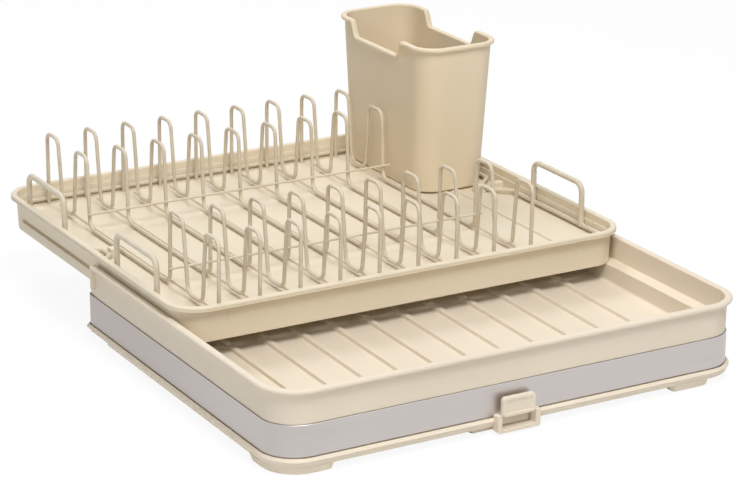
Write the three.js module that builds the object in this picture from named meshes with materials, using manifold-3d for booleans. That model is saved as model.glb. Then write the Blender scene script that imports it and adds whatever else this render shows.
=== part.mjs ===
// Expandable dish drainer: a base tray with a steel band, a second tray that slides out of it
// on two ledges, a wire plate rack, a utensil holder and a drain spout with a sliding gate.
// Millimetres, +Z up. The model is drawn from the front left corner of the steel band, with X
// along the front and Y towards the back, and the whole group is then centred on its footprint.
import * as THREE from 'three';
import { mergeVertices } from 'three/addons/utils/BufferGeometryUtils.js';
import Module from 'manifold-3d';

const wasm = await Module();
wasm.setup();

// Clearances and modelling allowances
const gap = 0.3; // between pieces that touch
const slideGap = 0.5; // beside a piece that slides
const overrun = 1.0; // how far a cutting solid runs past the face it cuts
const bond = 0.4; // how far a moulded detail reaches into the wall that carries it
const leastRadius = 1.0; // of a corner that an inset draws in

// Base tray
const baseWidth = 430; // outside of the steel band
const baseDepth = 353;
const cornerRadius = 30;
const rearRadius = 9;
const wall = 2.2;
const ledgeTop = 50.8;
const ledgeInset = 15.4; // inner edge of the ledge from the steel band's face
const baseRimTop = 70.9;
const baseRimHeight = 3.8;
const baseRimReach = 4.0;
const upperWallHead = 0.4; // inward from the steel band's face
const innerFoot = 3.1;
const innerHead = 2.7;
const rimRound = 1.5;
const rearOpening = 17; // the high side walls stop this far from the back
const endBeadLength = 5;
const endBeadReach = 4.1;
const wallBottom = 9.9;
const floorFront = 33; // height of the sloped floor at the front and at the back
const floorBack = 38;

// Ridges that keep the floors stiff and lead the water
const baseRidgePitch = 32.2;
const baseRidgeCount = 11;
const trayRidgeCount = 10;
const ridgeFoot = 9;
const ridgeHead = 5;
const baseRidgeHeight = 1.4;
const trayRidgeHeight = 1.0;
const ridgeEndGap = 14;

// Gutter along the front wall and the well behind the spout
const gutterInset = 22;
const gutterWidth = 34;
const gutterFloor = 19.5;
const wellLeft = 36; // from the middle of the spout
const wellRight = 22;
const wellFloor = 5.0;

// Steel band round the front and the sides
const bandThickness = 0.8;
const bandBottom = 15.2;
const bandTop = 41.5;
const bandReturn = 14; // how far each end turns in along the back

// Bottom frame
const skirtReach = 3.2;
const skirtBottom = 6.8;
const skirtTop = 14.9;
const skirtBevel = 2.4;
const skirtStep = 10.6; // underside of the shallow skirt round the back
const shallowLength = 44; // of the side that has the shallow skirt
const flangeInset = 20;

// Feet under its four corners
const footBottom = 0.6;
const footHeadInset = 1.5; // from the steel band's face
const footDraft = 2.5;
const leftFootEnd = 46; // along the front, from the left
const rightFootStart = 66; // and from the right
const rightFootEnd = 25;
const frontFootDepth = 46;
const footSlope = 5;
const rearFootInset = 12;
const rearFootWidth = 34;
const rearFootLength = 40;
const rearFootFromBack = 28;
const rearFootCorner = 8;

// Rubber pads let into the feet
const padLength = 26;
const padWidth = 12;
const padThickness = 1.5;
const padCorner = 5;
const padFromFront = 24;
const leftPadFromSide = 24;

// Drain spout and its gate
const spoutOffset = 5; // left of the middle
const spoutWidth = 39.6;
const postWidth = 4.1;
const spoutReach = 8; // in front of the steel band's face
const spoutBottom = 2.5;
const spoutTop = 17.2;
const spoutFloor = wellFloor;
const spoutNeckTop = 14.8;
const outletWidth = 28;
const outletTop = 14.5;
const gateHeight = 16.9;
const gateThickness = 4.2;
const gateCorner = 3.2;
const gateLift = 10; // height of the open gate over the closed one
const gateBorder = 3.0;
const gateRecess = 0.8;
const tongueReach = 1.3;
const tongueThickness = 1.4;
const tongueHeight = 8;

// Slide tray
const travel = 165;
const trayReach = 1.4; // its rim, outward from the steel band's face
const traySpare = 18.5; // how much longer it is than the base
const trayRimHeight = 4.3;
const trayRimTop = 83.2;
const trayRimRadius = 29.5;
const trayOverhang = 4.9; // rim outside the wall
const trayRimWidth = 6.2;
const trayDraft = 1.0;
const traySkirt = 4.0; // thickness of the wall below the floor
const trayFloorTop = 66.0;
const trayFloorThickness = 2.2;

// Groove in each side of the slide tray, and the nub on the base that runs in it
const nubHeight = 3.4;
const nubLength = 4;
const nubReach = 5.4;
const nubBottom = 60.6;
const grooveDepth = 1.8;

// Small marks on the front of the slide tray, and its drain slots
const markHeight = 9.5;
const markWidth = 1;
const markReach = 0.5;
const markFromSide = 44.3;
const markFromRim = 6.2;
const drainSlotWidth = 3.6;
const drainSlotLength = 34;
const drainSlotCount = 8;
const drainSlotFromWall = 6;

// Wire rack, with its heights from the slide tray's floor
const frameWire = 4.0; // diameters
const handleWire = 5.0;
const plateWire = 3.4;
const crossWire = 2.2;
const frameRise = 3.8;
const loopRise = 67.6;
const valleyRise = 4.4;
const runRise = 3.0;
const crossWireRise = 16.5;
const handleRise = 41.5;
const plateWireCount = 9;
const firstPlateWire = 39.8;
const lastPlateWireFromRight = 92.6;
const loopTopWidth = 24.2;
const loopRadius = 7.5;
const backValleyWidth = 25.0;
const frontValleyWidth = 27.5;
const valleyRadius = 9.0;
const backOuterLean = 1.0;
const frontOuterLean = 2.4;
const freeLean = 7.3;
const runLean = 2.6;
const crossWireTail = 5;
const handleWidth = 78;
const handleRadius = 9;
const backHandleFromBack = 123; // front leg of each handle from the slide tray's ends
const frontHandleFromFront = 61.5;

// The catch that holds the rack at each side of the slide tray, and the jog in the frame wire
const catchFromFront = 197;
const jogLength = 46;
const jogDepth = 16.2;
const jogRadius = 6;
const catchPlate = 1.1;
const catchPostWidth = 9.5;
const catchPostLength = 8;
const catchPostRise = 8.2;
const catchBossWidth = 11;
const catchBossRise = 7.2;
const catchBossLength = 8;

// Utensil holder
const holderRimTop = 206;
const holderWidth = 85.4;
const holderLength = 171.8;
const holderFromBack = 0.2; // its rim inside the slide tray's rim, at the back
const holderFromSide = 5.4; // and at the side
const holderCorner = 24;
const holderWall = 2.0;
const holderOverhang = 3.6;
const holderRimHeight = 4.0;
const holderTaperInner = 1.5; // beside the plate wires
const holderTaperSide = 6.5;
const holderTaperFront = 6.5;
const holderTaperBack = 11;
const dipDepth = 14.7;
const dipFromFront = 52.5;
const dipFromBack = 45.3;
const dipRamp = 10;
const holderSlotWidth = 3.4;
const holderSlotLength = 34;
const holderSlotCount = 4;

// Facets
const cornerSteps = 6;
const wireSides = 6;
const thickWireSides = 8;
const bendStep = Math.PI / 6;

// Colours and finishes
const cream = { color: 0xe3d9c5, roughness: 0.55, metalness: 0 };
const coatedWire = { color: 0xd8cfbd, roughness: 0.42, metalness: 0 };
const brushedSteel = { color: 0xb9b4b2, roughness: 0.34, metalness: 1 };
const paleRubber = { color: 0xcbc1ae, roughness: 0.85, metalness: 0 };

// Places worked out from the sizes above
const middle = baseWidth / 2;
const spoutMiddle = middle - spoutOffset;
const sideWallEnd = baseDepth - rearOpening;
const plateWirePitch = (baseWidth - lastPlateWireFromRight - firstPlateWire) / (plateWireCount - 1);
const trayBottom = ledgeTop + gap;
const trayFront = travel;
const trayBack = trayFront + baseDepth + traySpare;
const trayWallTop = trayRimTop - trayRimHeight;
const floorShare = (trayWallTop - trayFloorTop) / (trayWallTop - trayBottom);
const trayFloorInset = trayRimWidth + trayDraft * floorShare;
const frameInset = trayFloorInset + gap + frameWire / 2; // frame wire's centre inside the tray's rim
const frameLeft = frameInset - trayReach;
const frameRight = baseWidth - frameLeft;
const frameFront = trayFront + frameInset;
const frameBack = trayBack - frameInset;
const frameRadius = trayRimRadius - frameInset;
const frameHeight = trayFloorTop + frameRise;
const handleInset = (handleWire - frameWire) / 2; // keeps the outer faces of both wires in line
const loopTop = trayFloorTop + loopRise;
const loopBottom = trayFloorTop + valleyRise;
const runHeight = trayFloorTop + runRise;
const crossWireHeight = trayFloorTop + crossWireRise;
const handleHeight = trayFloorTop + handleRise;
const legOffset = frameWire / 2 + gap + plateWire / 2;
const wireFoot = trayFloorTop + gap;
const catchMiddle = trayFront + catchFromFront;

const group = new THREE.Group();

// Adds one named piece to the model
function addPiece(name, geometry, finish) {
  const mesh = new THREE.Mesh(geometry, new THREE.MeshStandardMaterial({ ...finish, flatShading: true }));
  mesh.name = name;
  group.add(mesh);
  return mesh;
}

// A closed three.js geometry as a solid for joining and cutting
function toSolid(geometry) {
  const plain = geometry.index ? geometry.clone() : geometry;
  plain.deleteAttribute('normal');
  plain.deleteAttribute('uv');
  const merged = mergeVertices(plain);
  return new wasm.Manifold(new wasm.Mesh({
    numProp: 3,
    vertProperties: new Float32Array(merged.attributes.position.array),
    triVerts: new Uint32Array(merged.index.array),
  }));
}

// A joined or cut solid as a three.js geometry again
function toGeometry(solid) {
  const mesh = solid.getMesh();
  const geometry = new THREE.BufferGeometry();
  geometry.setAttribute('position', new THREE.BufferAttribute(mesh.vertProperties, 3));
  geometry.setIndex(new THREE.BufferAttribute(mesh.triVerts, 1));
  return geometry;
}

// A box given by its low and high corners
function box(x0, x1, y0, y1, z0, z1) {
  const geometry = new THREE.BoxGeometry(x1 - x0, y1 - y0, z1 - z0);
  geometry.translate((x0 + x1) / 2, (y0 + y1) / 2, (z0 + z1) / 2);
  return toSolid(geometry);
}

function joinAll(solids) {
  return solids.reduce((sum, solid) => sum.add(solid));
}

// A rounded rectangle as a counterclockwise list of points. stations adds points on the long
// sides at the given Y places, for an edge that rises and falls there.
function outline(rect, stations = []) {
  const { x0, x1, y0, y1, front, back } = rect;
  const corners = [
    [x0 + front, y0 + front, front, Math.PI],
    [x1 - front, y0 + front, front, Math.PI * 1.5],
    [x1 - back, y1 - back, back, 0],
    [x0 + back, y1 - back, back, Math.PI / 2],
  ];
  const points = [];
  corners.forEach(([cx, cy, radius, start], corner) => {
    for (let step = 0; step <= cornerSteps; step += 1) {
      const angle = start + (Math.PI / 2) * (step / cornerSteps);
      points.push(new THREE.Vector2(cx + radius * Math.cos(angle), cy + radius * Math.sin(angle)));
    }
    if (corner === 1) stations.forEach((y) => points.push(new THREE.Vector2(x1, y)));
    if (corner === 3) [...stations].reverse().forEach((y) => points.push(new THREE.Vector2(x0, y)));
  });
  return points;
}

// The rectangle drawn in by an inset on every side, or drawn out by a negative one
function inset(rect, amount) {
  return {
    x0: rect.x0 + amount,
    x1: rect.x1 - amount,
    y0: rect.y0 + amount,
    y1: rect.y1 - amount,
    front: Math.max(rect.front - amount, leastRadius),
    back: Math.max(rect.back - amount, leastRadius),
  };
}

// The side faces between successive rings of points, as a list of triangles
function ringFaces(ringCount, pointCount, closed) {
  const faces = [];
  const last = closed ? ringCount : ringCount - 1;
  for (let ring = 0; ring < last; ring += 1) {
    const here = ring * pointCount;
    const there = ((ring + 1) % ringCount) * pointCount;
    for (let point = 0; point < pointCount; point += 1) {
      const next = (point + 1) % pointCount;
      faces.push(here + point, here + next, there + next);
      faces.push(here + point, there + next, there + point);
    }
  }
  return faces;
}

function ringGeometry(rings, faces) {
  const geometry = new THREE.BufferGeometry();
  geometry.setFromPoints(rings.flat());
  geometry.setIndex(faces);
  return geometry;
}

// A solid through a stack of rings, closed by flat caps. Each level is [rectangle, height], and
// a height can be a function of the point.
function loft(levels, stations) {
  const rings = levels.map(([rect, height]) => outline(rect, stations).map((point) => {
    const z = typeof height === 'function' ? height(point) : height;
    return new THREE.Vector3(point.x, point.y, z);
  }));
  const count = rings[0].length;
  const faces = ringFaces(rings.length, count, false);
  const top = (rings.length - 1) * count;
  for (let point = 1; point < count - 1; point += 1) {
    faces.push(0, point + 1, point);
    faces.push(top, top + point, top + point + 1);
  }
  return ringGeometry(rings, faces);
}

// A profile of [outward offset, height] points carried round a rounded rectangle
function sweepRound(rect, profile) {
  const rings = profile.map(([offset, z]) => outline(inset(rect, -offset))
    .map((point) => new THREE.Vector3(point.x, point.y, z)));
  return ringGeometry(rings, ringFaces(rings.length, rings[0].length, true));
}

// A wire's centre line: straight runs joined by round bends, with a ring at each knot only
class BentLine extends THREE.Curve {
  constructor(corners) {
    super();
    this.knots = [];
    this.directions = [];
    corners.forEach(([point, radius], index) => {
      const before = index > 0 ? point.clone().sub(corners[index - 1][0]).normalize() : null;
      const after = index < corners.length - 1 ? corners[index + 1][0].clone().sub(point).normalize() : null;
      if (before && after) this.bend(point, before, after, radius);
      else this.knot(point, before ?? after);
    });
  }

  knot(point, direction) {
    this.knots.push(point.clone());
    this.directions.push(direction.clone());
  }

  bend(point, before, after, radius) {
    const turn = before.angleTo(after);
    const reach = radius * Math.tan(turn / 2);
    const axis = before.clone().cross(after).normalize();
    const start = point.clone().addScaledVector(before, -reach);
    const centre = start.clone().addScaledVector(axis.clone().cross(before), radius);
    const steps = Math.max(1, Math.ceil(turn / bendStep));
    for (let step = 0; step <= steps; step += 1) {
      const angle = turn * (step / steps);
      const arm = start.clone().sub(centre).applyAxisAngle(axis, angle);
      this.knot(centre.clone().add(arm), before.clone().applyAxisAngle(axis, angle));
    }
  }

  getPoint(share) {
    return this.knots[Math.round(share * (this.knots.length - 1))].clone();
  }

  getTangentAt(share) {
    return this.directions[Math.round(share * (this.knots.length - 1))].clone();
  }

  getSpacedPoints() {
    return this.knots;
  }
}

// A round wire along a bent line
function wire(corners, diameter, sides) {
  const path = new BentLine(corners);
  const section = new THREE.Shape();
  for (let side = 0; side < sides; side += 1) {
    const angle = (side / sides) * Math.PI * 2;
    const x = (diameter / 2) * Math.cos(angle);
    const y = (diameter / 2) * Math.sin(angle);
    if (side === 0) section.moveTo(x, y);
    else section.lineTo(x, y);
  }
  return new THREE.ExtrudeGeometry(section, { steps: path.knots.length - 1, extrudePath: path });
}

// A low ridge along Y whose top and foot follow the floor's height
function ridge(x, y0, y1, height, floorAt) {
  const low = new THREE.Vector3(0, 0, -bond);
  const lift = new THREE.Vector3(0, 0, height);
  const ring = (y, up) => {
    const half = up ? ridgeHead / 2 : ridgeFoot / 2;
    const z = floorAt(y);
    return [-half, half].map((offset) => new THREE.Vector3(x + offset, y, z).add(up ? lift : low));
  };
  const [a, b] = ring(y0, false);
  const [c, d] = ring(y0 + height, true);
  const [e, f] = ring(y1, false);
  const [g, h] = ring(y1 - height, true);
  const geometry = new THREE.BufferGeometry();
  geometry.setFromPoints([a, b, f, e, c, d, h, g]);
  geometry.setIndex([
    0, 2, 1, 0, 3, 2, 4, 5, 6, 4, 6, 7, 0, 1, 5, 0, 5, 4,
    1, 2, 6, 1, 6, 5, 2, 3, 7, 2, 7, 6, 3, 0, 4, 3, 4, 7,
  ]);
  return toSolid(geometry);
}

const bandRect = { x0: 0, x1: baseWidth, y0: 0, y1: baseDepth, front: cornerRadius, back: rearRadius };

function baseFloorAt(y, drop = 0) {
  const share = (y - innerFoot) / (baseDepth - ledgeInset - innerFoot);
  return floorFront + (floorBack - floorFront) * share - drop;
}

// The space in the base below the ledges, made larger by a margin and shifted down by a drop
function lowerSpace(margin, drop, top) {
  const rect = {
    x0: ledgeInset - margin,
    x1: baseWidth - ledgeInset + margin,
    y0: bandThickness + gap + wall - margin,
    y1: baseDepth - ledgeInset + margin,
    front: cornerRadius - ledgeInset + margin,
    back: rearRadius + margin,
  };
  return toSolid(loft([[rect, (point) => baseFloorAt(point.y, drop)], [rect, top]]));
}

function gutterSpace(margin, top) {
  const front = bandThickness + gap + wall;
  const gutter = {
    x0: gutterInset - margin,
    x1: baseWidth - gutterInset + margin,
    y0: front - margin,
    y1: front + gutterWidth + margin,
    front: gutterWidth / 2,
    back: gutterWidth / 4,
  };
  const well = box(
    spoutMiddle - wellLeft - margin, spoutMiddle + wellRight + margin,
    front - margin, front + gutterWidth + margin,
    wellFloor - margin, top,
  );
  return toSolid(loft([[gutter, gutterFloor - margin], [gutter, top]])).add(well);
}

function makeBaseTray() {
  const recess = bandThickness + gap;
  const rimFoot = baseRimTop - baseRimHeight;
  const body = toSolid(loft([
    [inset(bandRect, recess), wallBottom],
    [inset(bandRect, recess), bandTop + gap],
    [inset(bandRect, upperWallHead), rimFoot],
    [inset(bandRect, -baseRimReach + gap), rimFoot],
    [inset(bandRect, -baseRimReach), rimFoot + baseRimHeight / 2],
    [inset(bandRect, -baseRimReach + rimRound / 2), baseRimTop - rimRound / 2],
    [inset(bandRect, -baseRimReach + rimRound), baseRimTop],
  ]));
  const upper = toSolid(loft([
    [inset(bandRect, innerFoot), ledgeTop],
    [inset(bandRect, innerHead), baseRimTop - rimRound],
    [inset(bandRect, innerHead - rimRound), baseRimTop + overrun],
  ]));
  const rear = box(
    -baseRimReach - overrun, baseWidth + baseRimReach + overrun,
    sideWallEnd, baseDepth + baseRimReach + overrun, ledgeTop, baseRimTop + overrun,
  );
  const inner = inset(bandRect, recess + wall);
  const under = toSolid(loft([[inner, wallBottom - overrun], [inner, ledgeTop - wall]]))
    .subtract(lowerSpace(wall, wall, ledgeTop))
    .subtract(gutterSpace(wall, floorBack));
  const outlet = box(
    spoutMiddle - outletWidth / 2, spoutMiddle + outletWidth / 2,
    recess - overrun, recess + wall + overrun, spoutFloor, outletTop,
  );
  const below = gutterSpace(wall, floorFront).intersect(toSolid(loft([
    [inset(bandRect, recess), 0],
    [inset(bandRect, recess), floorFront],
  ])));
  let tray = body.add(below)
    .subtract(upper)
    .subtract(rear)
    .subtract(lowerSpace(0, 0, ledgeTop + overrun))
    .subtract(under)
    .subtract(gutterSpace(0, floorBack))
    .subtract(outlet);
  const ridgeFront = recess + wall + gutterWidth + ridgeHead;
  const ridgeBack = baseDepth - ledgeInset - ridgeHead;
  for (let index = 0; index < baseRidgeCount; index += 1) {
    const x = middle + (index - (baseRidgeCount - 1) / 2) * baseRidgePitch;
    tray = tray.add(ridge(x, ridgeFront, ridgeBack, baseRidgeHeight, baseFloorAt));
  }
  const beadFront = sideWallEnd - endBeadLength;
  const nubBack = sideWallEnd - (endBeadLength - nubLength) / 2;
  const beads = [
    box(-endBeadReach, innerHead - bond, beadFront, sideWallEnd, ledgeTop - bond, baseRimTop - gap),
    box(-baseRimReach, nubReach, nubBack - nubLength, nubBack, nubBottom, nubBottom + nubHeight),
  ];
  const mirrored = beads.map((solid) => solid.mirror([1, 0, 0]).translate([baseWidth, 0, 0]));
  return toGeometry(joinAll([tray, ...beads, ...mirrored]));
}

function makeSteelBand() {
  const ring = toSolid(sweepRound(bandRect, [
    [-bandThickness, bandBottom], [0, bandBottom], [0, bandTop], [-bandThickness, bandTop],
  ]));
  const open = box(
    rearRadius + bandReturn, baseWidth - rearRadius - bandReturn,
    baseDepth - rearRadius, baseDepth + overrun, bandBottom - overrun, bandTop + overrun,
  );
  return toGeometry(ring.subtract(open));
}

// A wedge between two feet, narrow at the top, that leaves their ends sloped
function slopeCut(x0, x1, y0, y1, slopeX, slopeY) {
  const corner = { front: leastRadius, back: leastRadius };
  const low = { x0: x0 - slopeX, x1: x1 + slopeX, y0: y0 - slopeY, y1, ...corner };
  const high = { x0, x1, y0, y1, ...corner };
  return toSolid(loft([[low, footBottom - overrun], [high, skirtBottom + bond + gap]]));
}

// The two front feet follow the edge of the skirt, with sloped ends. The left one takes in the
// corner, and the right one stops short of it.
function makeFrontFeet() {
  const right = baseWidth + skirtReach + overrun;
  const front = -skirtReach - overrun;
  return toSolid(loft([
    [inset(bandRect, footHeadInset + footDraft), footBottom],
    [inset(bandRect, footHeadInset), skirtBottom + bond],
  ])).subtract(slopeCut(
    leftFootEnd + footSlope, baseWidth - rightFootStart - footSlope,
    front, baseDepth / 2, footSlope, 0,
  )).subtract(slopeCut(
    baseWidth - rightFootEnd + footSlope, right, front, baseDepth / 2, footSlope, 0,
  )).subtract(slopeCut(
    front, right, frontFootDepth + footSlope, baseDepth + skirtReach + overrun, 0, footSlope,
  ));
}

// One rear foot, further in, where the skirt hides it
function makeRearFoot() {
  const back = baseDepth - rearFootFromBack;
  const rect = {
    x0: rearFootInset,
    x1: rearFootInset + rearFootWidth,
    y0: back - rearFootLength,
    y1: back,
    front: rearFootCorner,
    back: rearFootCorner,
  };
  return toSolid(loft([[inset(rect, footDraft), footBottom], [rect, wallBottom - gap]]));
}

function makeBottomFrame() {
  const seat = bandThickness + gap;
  const ring = toSolid(sweepRound(bandRect, [
    [-flangeInset, skirtBottom],
    [skirtReach, skirtBottom],
    [skirtReach, skirtTop - skirtBevel],
    [gap, skirtTop],
    [gap - seat, skirtTop],
    [gap - seat, wallBottom - gap],
    [-flangeInset, wallBottom - gap],
  ]));
  const outside = skirtReach + overrun;
  const shallow = toSolid(sweepRound(bandRect, [
    [0, skirtBottom - overrun],
    [outside, skirtBottom - overrun],
    [outside, skirtStep],
    [0, skirtStep - skirtBevel],
  ])).intersect(box(
    -outside - overrun, baseWidth + outside + overrun,
    baseDepth - shallowLength, baseDepth + outside + overrun, 0, skirtTop,
  ));
  const rearFoot = makeRearFoot();
  let frame = ring.subtract(shallow)
    .add(makeFrontFeet())
    .add(rearFoot)
    .add(rearFoot.mirror([1, 0, 0]).translate([baseWidth, 0, 0]));
  const spoutHalf = spoutWidth / 2 + gap;
  frame = frame.subtract(box(
    spoutMiddle - spoutHalf, spoutMiddle + spoutHalf,
    -outside, flangeInset + overrun, skirtBottom - overrun, skirtTop + overrun,
  ));
  frame = frame.subtract(box(
    spoutMiddle - wellLeft - wall - gap, spoutMiddle + wellRight + wall + gap,
    seat - gap, flangeInset + overrun, skirtBottom - overrun, skirtTop + overrun,
  ));
  padPlaces().forEach(([x, y]) => {
    const room = inset(padRect(x, y), -gap);
    frame = frame.subtract(toSolid(loft([[room, 0], [room, padThickness + gap]])));
  });
  return toGeometry(frame);
}

// Middles of the four pads under the feet
function padPlaces() {
  const rearX = rearFootInset + rearFootWidth / 2;
  const rearY = baseDepth - rearFootFromBack - rearFootLength / 2;
  return [
    [leftPadFromSide, padFromFront],
    [baseWidth - (rightFootStart + rightFootEnd) / 2, padFromFront],
    [rearX, rearY],
    [baseWidth - rearX, rearY],
  ];
}

function padRect(x, y) {
  return {
    x0: x - padWidth / 2,
    x1: x + padWidth / 2,
    y0: y - padLength / 2,
    y1: y + padLength / 2,
    front: padCorner,
    back: padCorner,
  };
}

function makeSpout() {
  const half = spoutWidth / 2;
  const inside = half - postWidth;
  const mouth = box(
    spoutMiddle - half, spoutMiddle + half, -spoutReach, -gap, spoutBottom, spoutTop,
  );
  const neck = box(
    spoutMiddle - half, spoutMiddle + half, -gap - bond, bandThickness, spoutBottom, spoutNeckTop,
  );
  const channel = box(
    spoutMiddle - inside, spoutMiddle + inside, -spoutReach - overrun, bandThickness + overrun,
    spoutFloor, spoutTop + overrun,
  );
  const groove = box(
    spoutMiddle - inside - tongueReach - gap, spoutMiddle + inside + tongueReach + gap,
    -spoutReach + gateThickness - tongueThickness - gap, -spoutReach + gateThickness + gap,
    spoutFloor, spoutTop + overrun,
  );
  return toGeometry(mouth.add(neck).subtract(channel).subtract(groove));
}

function makeGate() {
  const half = spoutWidth / 2 - postWidth - gap;
  const bottom = spoutFloor + gap + gateLift;
  const face = {
    x0: spoutMiddle - half,
    x1: spoutMiddle + half,
    y0: bottom,
    y1: bottom + gateHeight,
    front: gateCorner,
    back: gateCorner,
  };
  const plate = loft([
    [face, gap - gateThickness],
    [face, -gateRecess],
    [inset(face, gateRecess), 0],
    [inset(face, gateBorder), 0],
    [inset(face, gateBorder), -gateRecess],
  ]);
  // The plate is drawn lying down with its face up, then stood up facing the front
  plate.rotateX(Math.PI / 2);
  plate.translate(0, -spoutReach, 0);
  const tongueBack = -spoutReach + gateThickness;
  const tongues = box(
    spoutMiddle - half - tongueReach, spoutMiddle + half + tongueReach,
    tongueBack - tongueThickness, tongueBack - gap,
    bottom, bottom + tongueHeight,
  );
  return toGeometry(toSolid(plate).add(tongues));
}

function trayRect() {
  return {
    x0: -trayReach,
    x1: baseWidth + trayReach,
    y0: trayFront,
    y1: trayBack,
    front: trayRimRadius,
    back: trayRimRadius,
  };
}

function makeSlideTray() {
  const rect = trayRect();
  const foot = trayOverhang + trayDraft;
  const shell = loft([
    [inset(rect, foot + traySkirt), trayFloorTop - trayFloorThickness],
    [inset(rect, foot + traySkirt - gap), trayBottom],
    [inset(rect, foot), trayBottom],
    [inset(rect, trayOverhang), trayWallTop],
    [inset(rect, gap), trayWallTop],
    [rect, trayWallTop + trayRimHeight / 3],
    [inset(rect, gap), trayRimTop - rimRound],
    [inset(rect, rimRound), trayRimTop],
    [inset(rect, trayRimWidth - rimRound), trayRimTop],
    [inset(rect, trayRimWidth), trayRimTop - rimRound],
    [inset(rect, trayFloorInset), trayFloorTop],
  ]);
  let tray = toSolid(shell);
  const insideFront = trayFront + trayFloorInset;
  const insideBack = trayBack - trayFloorInset;
  for (let index = 0; index < trayRidgeCount; index += 1) {
    const x = middle + (index - (trayRidgeCount - 1) / 2) * plateWirePitch;
    tray = tray.add(ridge(
      x, insideFront + ridgeEndGap, insideBack - ridgeEndGap, trayRidgeHeight, () => trayFloorTop,
    ));
  }
  const grooveFront = sideWallEnd - endBeadLength - slideGap;
  const grooveBack = sideWallEnd + travel + slideGap;
  const grooveFloor = foot + grooveDepth - trayReach;
  [1, -1].forEach((side) => {
    const [x0, x1] = side > 0
      ? [-trayReach - overrun, grooveFloor]
      : [baseWidth - grooveFloor, baseWidth + trayReach + overrun];
    tray = tray.subtract(box(
      x0, x1, grooveFront, grooveBack, nubBottom - gap, nubBottom + nubHeight + gap,
    ));
  });
  [markFromSide, baseWidth - markFromSide].forEach((x) => {
    tray = tray.add(box(
      x - markWidth / 2, x + markWidth / 2, trayFront + trayOverhang - markReach + gap,
      trayFront + foot + bond, trayRimTop - markFromRim - markHeight, trayRimTop - markFromRim,
    ));
  });
  const slotPitch = (baseWidth - 2 * trayRimRadius) / drainSlotCount;
  for (let index = 0; index < drainSlotCount; index += 1) {
    const x = middle + (index - (drainSlotCount - 1) / 2) * slotPitch;
    const y = insideFront + drainSlotFromWall;
    tray = tray.subtract(box(
      x - drainSlotLength / 2, x + drainSlotLength / 2, y, y + drainSlotWidth,
      trayFloorTop - trayFloorThickness - overrun, trayFloorTop + overrun,
    ));
  }
  return toGeometry(tray);
}

// One catch: a boss by the wall, a post inside the frame wire and the plate that joins them
function makeCatch(side) {
  const wallFace = trayFloorInset - trayReach + gap;
  const postOuter = frameLeft + jogDepth + frameWire / 2 + gap;
  const low = trayFloorTop + gap;
  const parts = [
    box(wallFace, postOuter + catchPostWidth, catchMiddle - catchPostLength / 2,
      catchMiddle + catchPostLength / 2, low, low + catchPlate),
    box(postOuter, postOuter + catchPostWidth, catchMiddle - catchPostLength / 2,
      catchMiddle + catchPostLength / 2, low, trayFloorTop + catchPostRise),
    box(wallFace, wallFace + catchBossWidth, catchMiddle - catchBossLength / 2,
      catchMiddle + catchBossLength / 2, low, trayFloorTop + catchBossRise),
  ];
  const solid = joinAll(parts);
  return toGeometry(side > 0 ? solid : solid.mirror([1, 0, 0]).translate([baseWidth, 0, 0]));
}

function at(x, y, z) {
  return new THREE.Vector3(x, y, z);
}

// The front and back runs of the frame wire, each with its two corners
function makeFrameEnd(y, inward) {
  const z = frameHeight;
  const end = y + inward * (frameRadius + frameWire);
  return wire([
    [at(frameLeft, end, z)],
    [at(frameLeft, y, z), frameRadius],
    [at(frameRight, y, z), frameRadius],
    [at(frameRight, end, z)],
  ], frameWire, thickWireSides);
}

// A side run of the frame wire, with its jog round the catch
function makeFrameSide(side) {
  const z = frameHeight;
  const x = side > 0 ? frameLeft : frameRight;
  const inner = x + side * jogDepth;
  const start = frameFront + frameRadius + frameWire + gap;
  const end = frameBack - frameRadius - frameWire - gap;
  const jogFront = catchMiddle - jogLength / 2;
  const jogBack = catchMiddle + jogLength / 2;
  return wire([
    [at(x, start, z)],
    [at(x, jogFront, z), jogRadius],
    [at(inner, jogFront + jogDepth, z), jogRadius],
    [at(inner, jogBack - jogDepth, z), jogRadius],
    [at(x, jogBack, z), jogRadius],
    [at(x, end, z)],
  ], frameWire, thickWireSides);
}

// Y places of the plate wire's legs, from the back leg to the front leg: the foot and the top
// of each leg of rows one to four
function legPlaces() {
  const backLeg = frameBack - legOffset;
  const frontLeg = frameFront + legOffset;
  const first = backLeg - backOuterLean;
  const firstFoot = first - loopTopWidth - freeLean;
  const second = firstFoot - backValleyWidth - freeLean;
  const fourth = frontLeg - frontOuterLean;
  const fourthFoot = fourth + loopTopWidth + freeLean;
  const third = fourthFoot + frontValleyWidth + freeLean;
  return {
    backLeg,
    frontLeg,
    rowOne: [first, first - loopTopWidth, firstFoot],
    rowTwo: [firstFoot - backValleyWidth, second, second - loopTopWidth, second - loopTopWidth - runLean],
    rowThree: [third + loopTopWidth + runLean, third + loopTopWidth, third, third - freeLean],
    rowFour: [fourthFoot, fourth + loopTopWidth, fourth],
  };
}

// One plate wire: four upright loops and the low run between the second and the third
function makePlateWire(x) {
  const legs = legPlaces();
  const [a1, a2, a3] = legs.rowOne;
  const [b1, b2, b3, b4] = legs.rowTwo;
  const [c1, c2, c3, c4] = legs.rowThree;
  const [d1, d2, d3] = legs.rowFour;
  return wire([
    [at(x, legs.backLeg, wireFoot)],
    [at(x, a1, loopTop), loopRadius],
    [at(x, a2, loopTop), loopRadius],
    [at(x, a3, loopBottom), valleyRadius],
    [at(x, b1, loopBottom), valleyRadius],
    [at(x, b2, loopTop), loopRadius],
    [at(x, b3, loopTop), loopRadius],
    [at(x, b4, runHeight), valleyRadius],
    [at(x, c1, runHeight), valleyRadius],
    [at(x, c2, loopTop), loopRadius],
    [at(x, c3, loopTop), loopRadius],
    [at(x, c4, loopBottom), valleyRadius],
    [at(x, d1, loopBottom), valleyRadius],
    [at(x, d2, loopTop), loopRadius],
    [at(x, d3, loopTop), loopRadius],
    [at(x, legs.frontLeg, wireFoot)],
  ], plateWire, wireSides);
}

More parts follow.
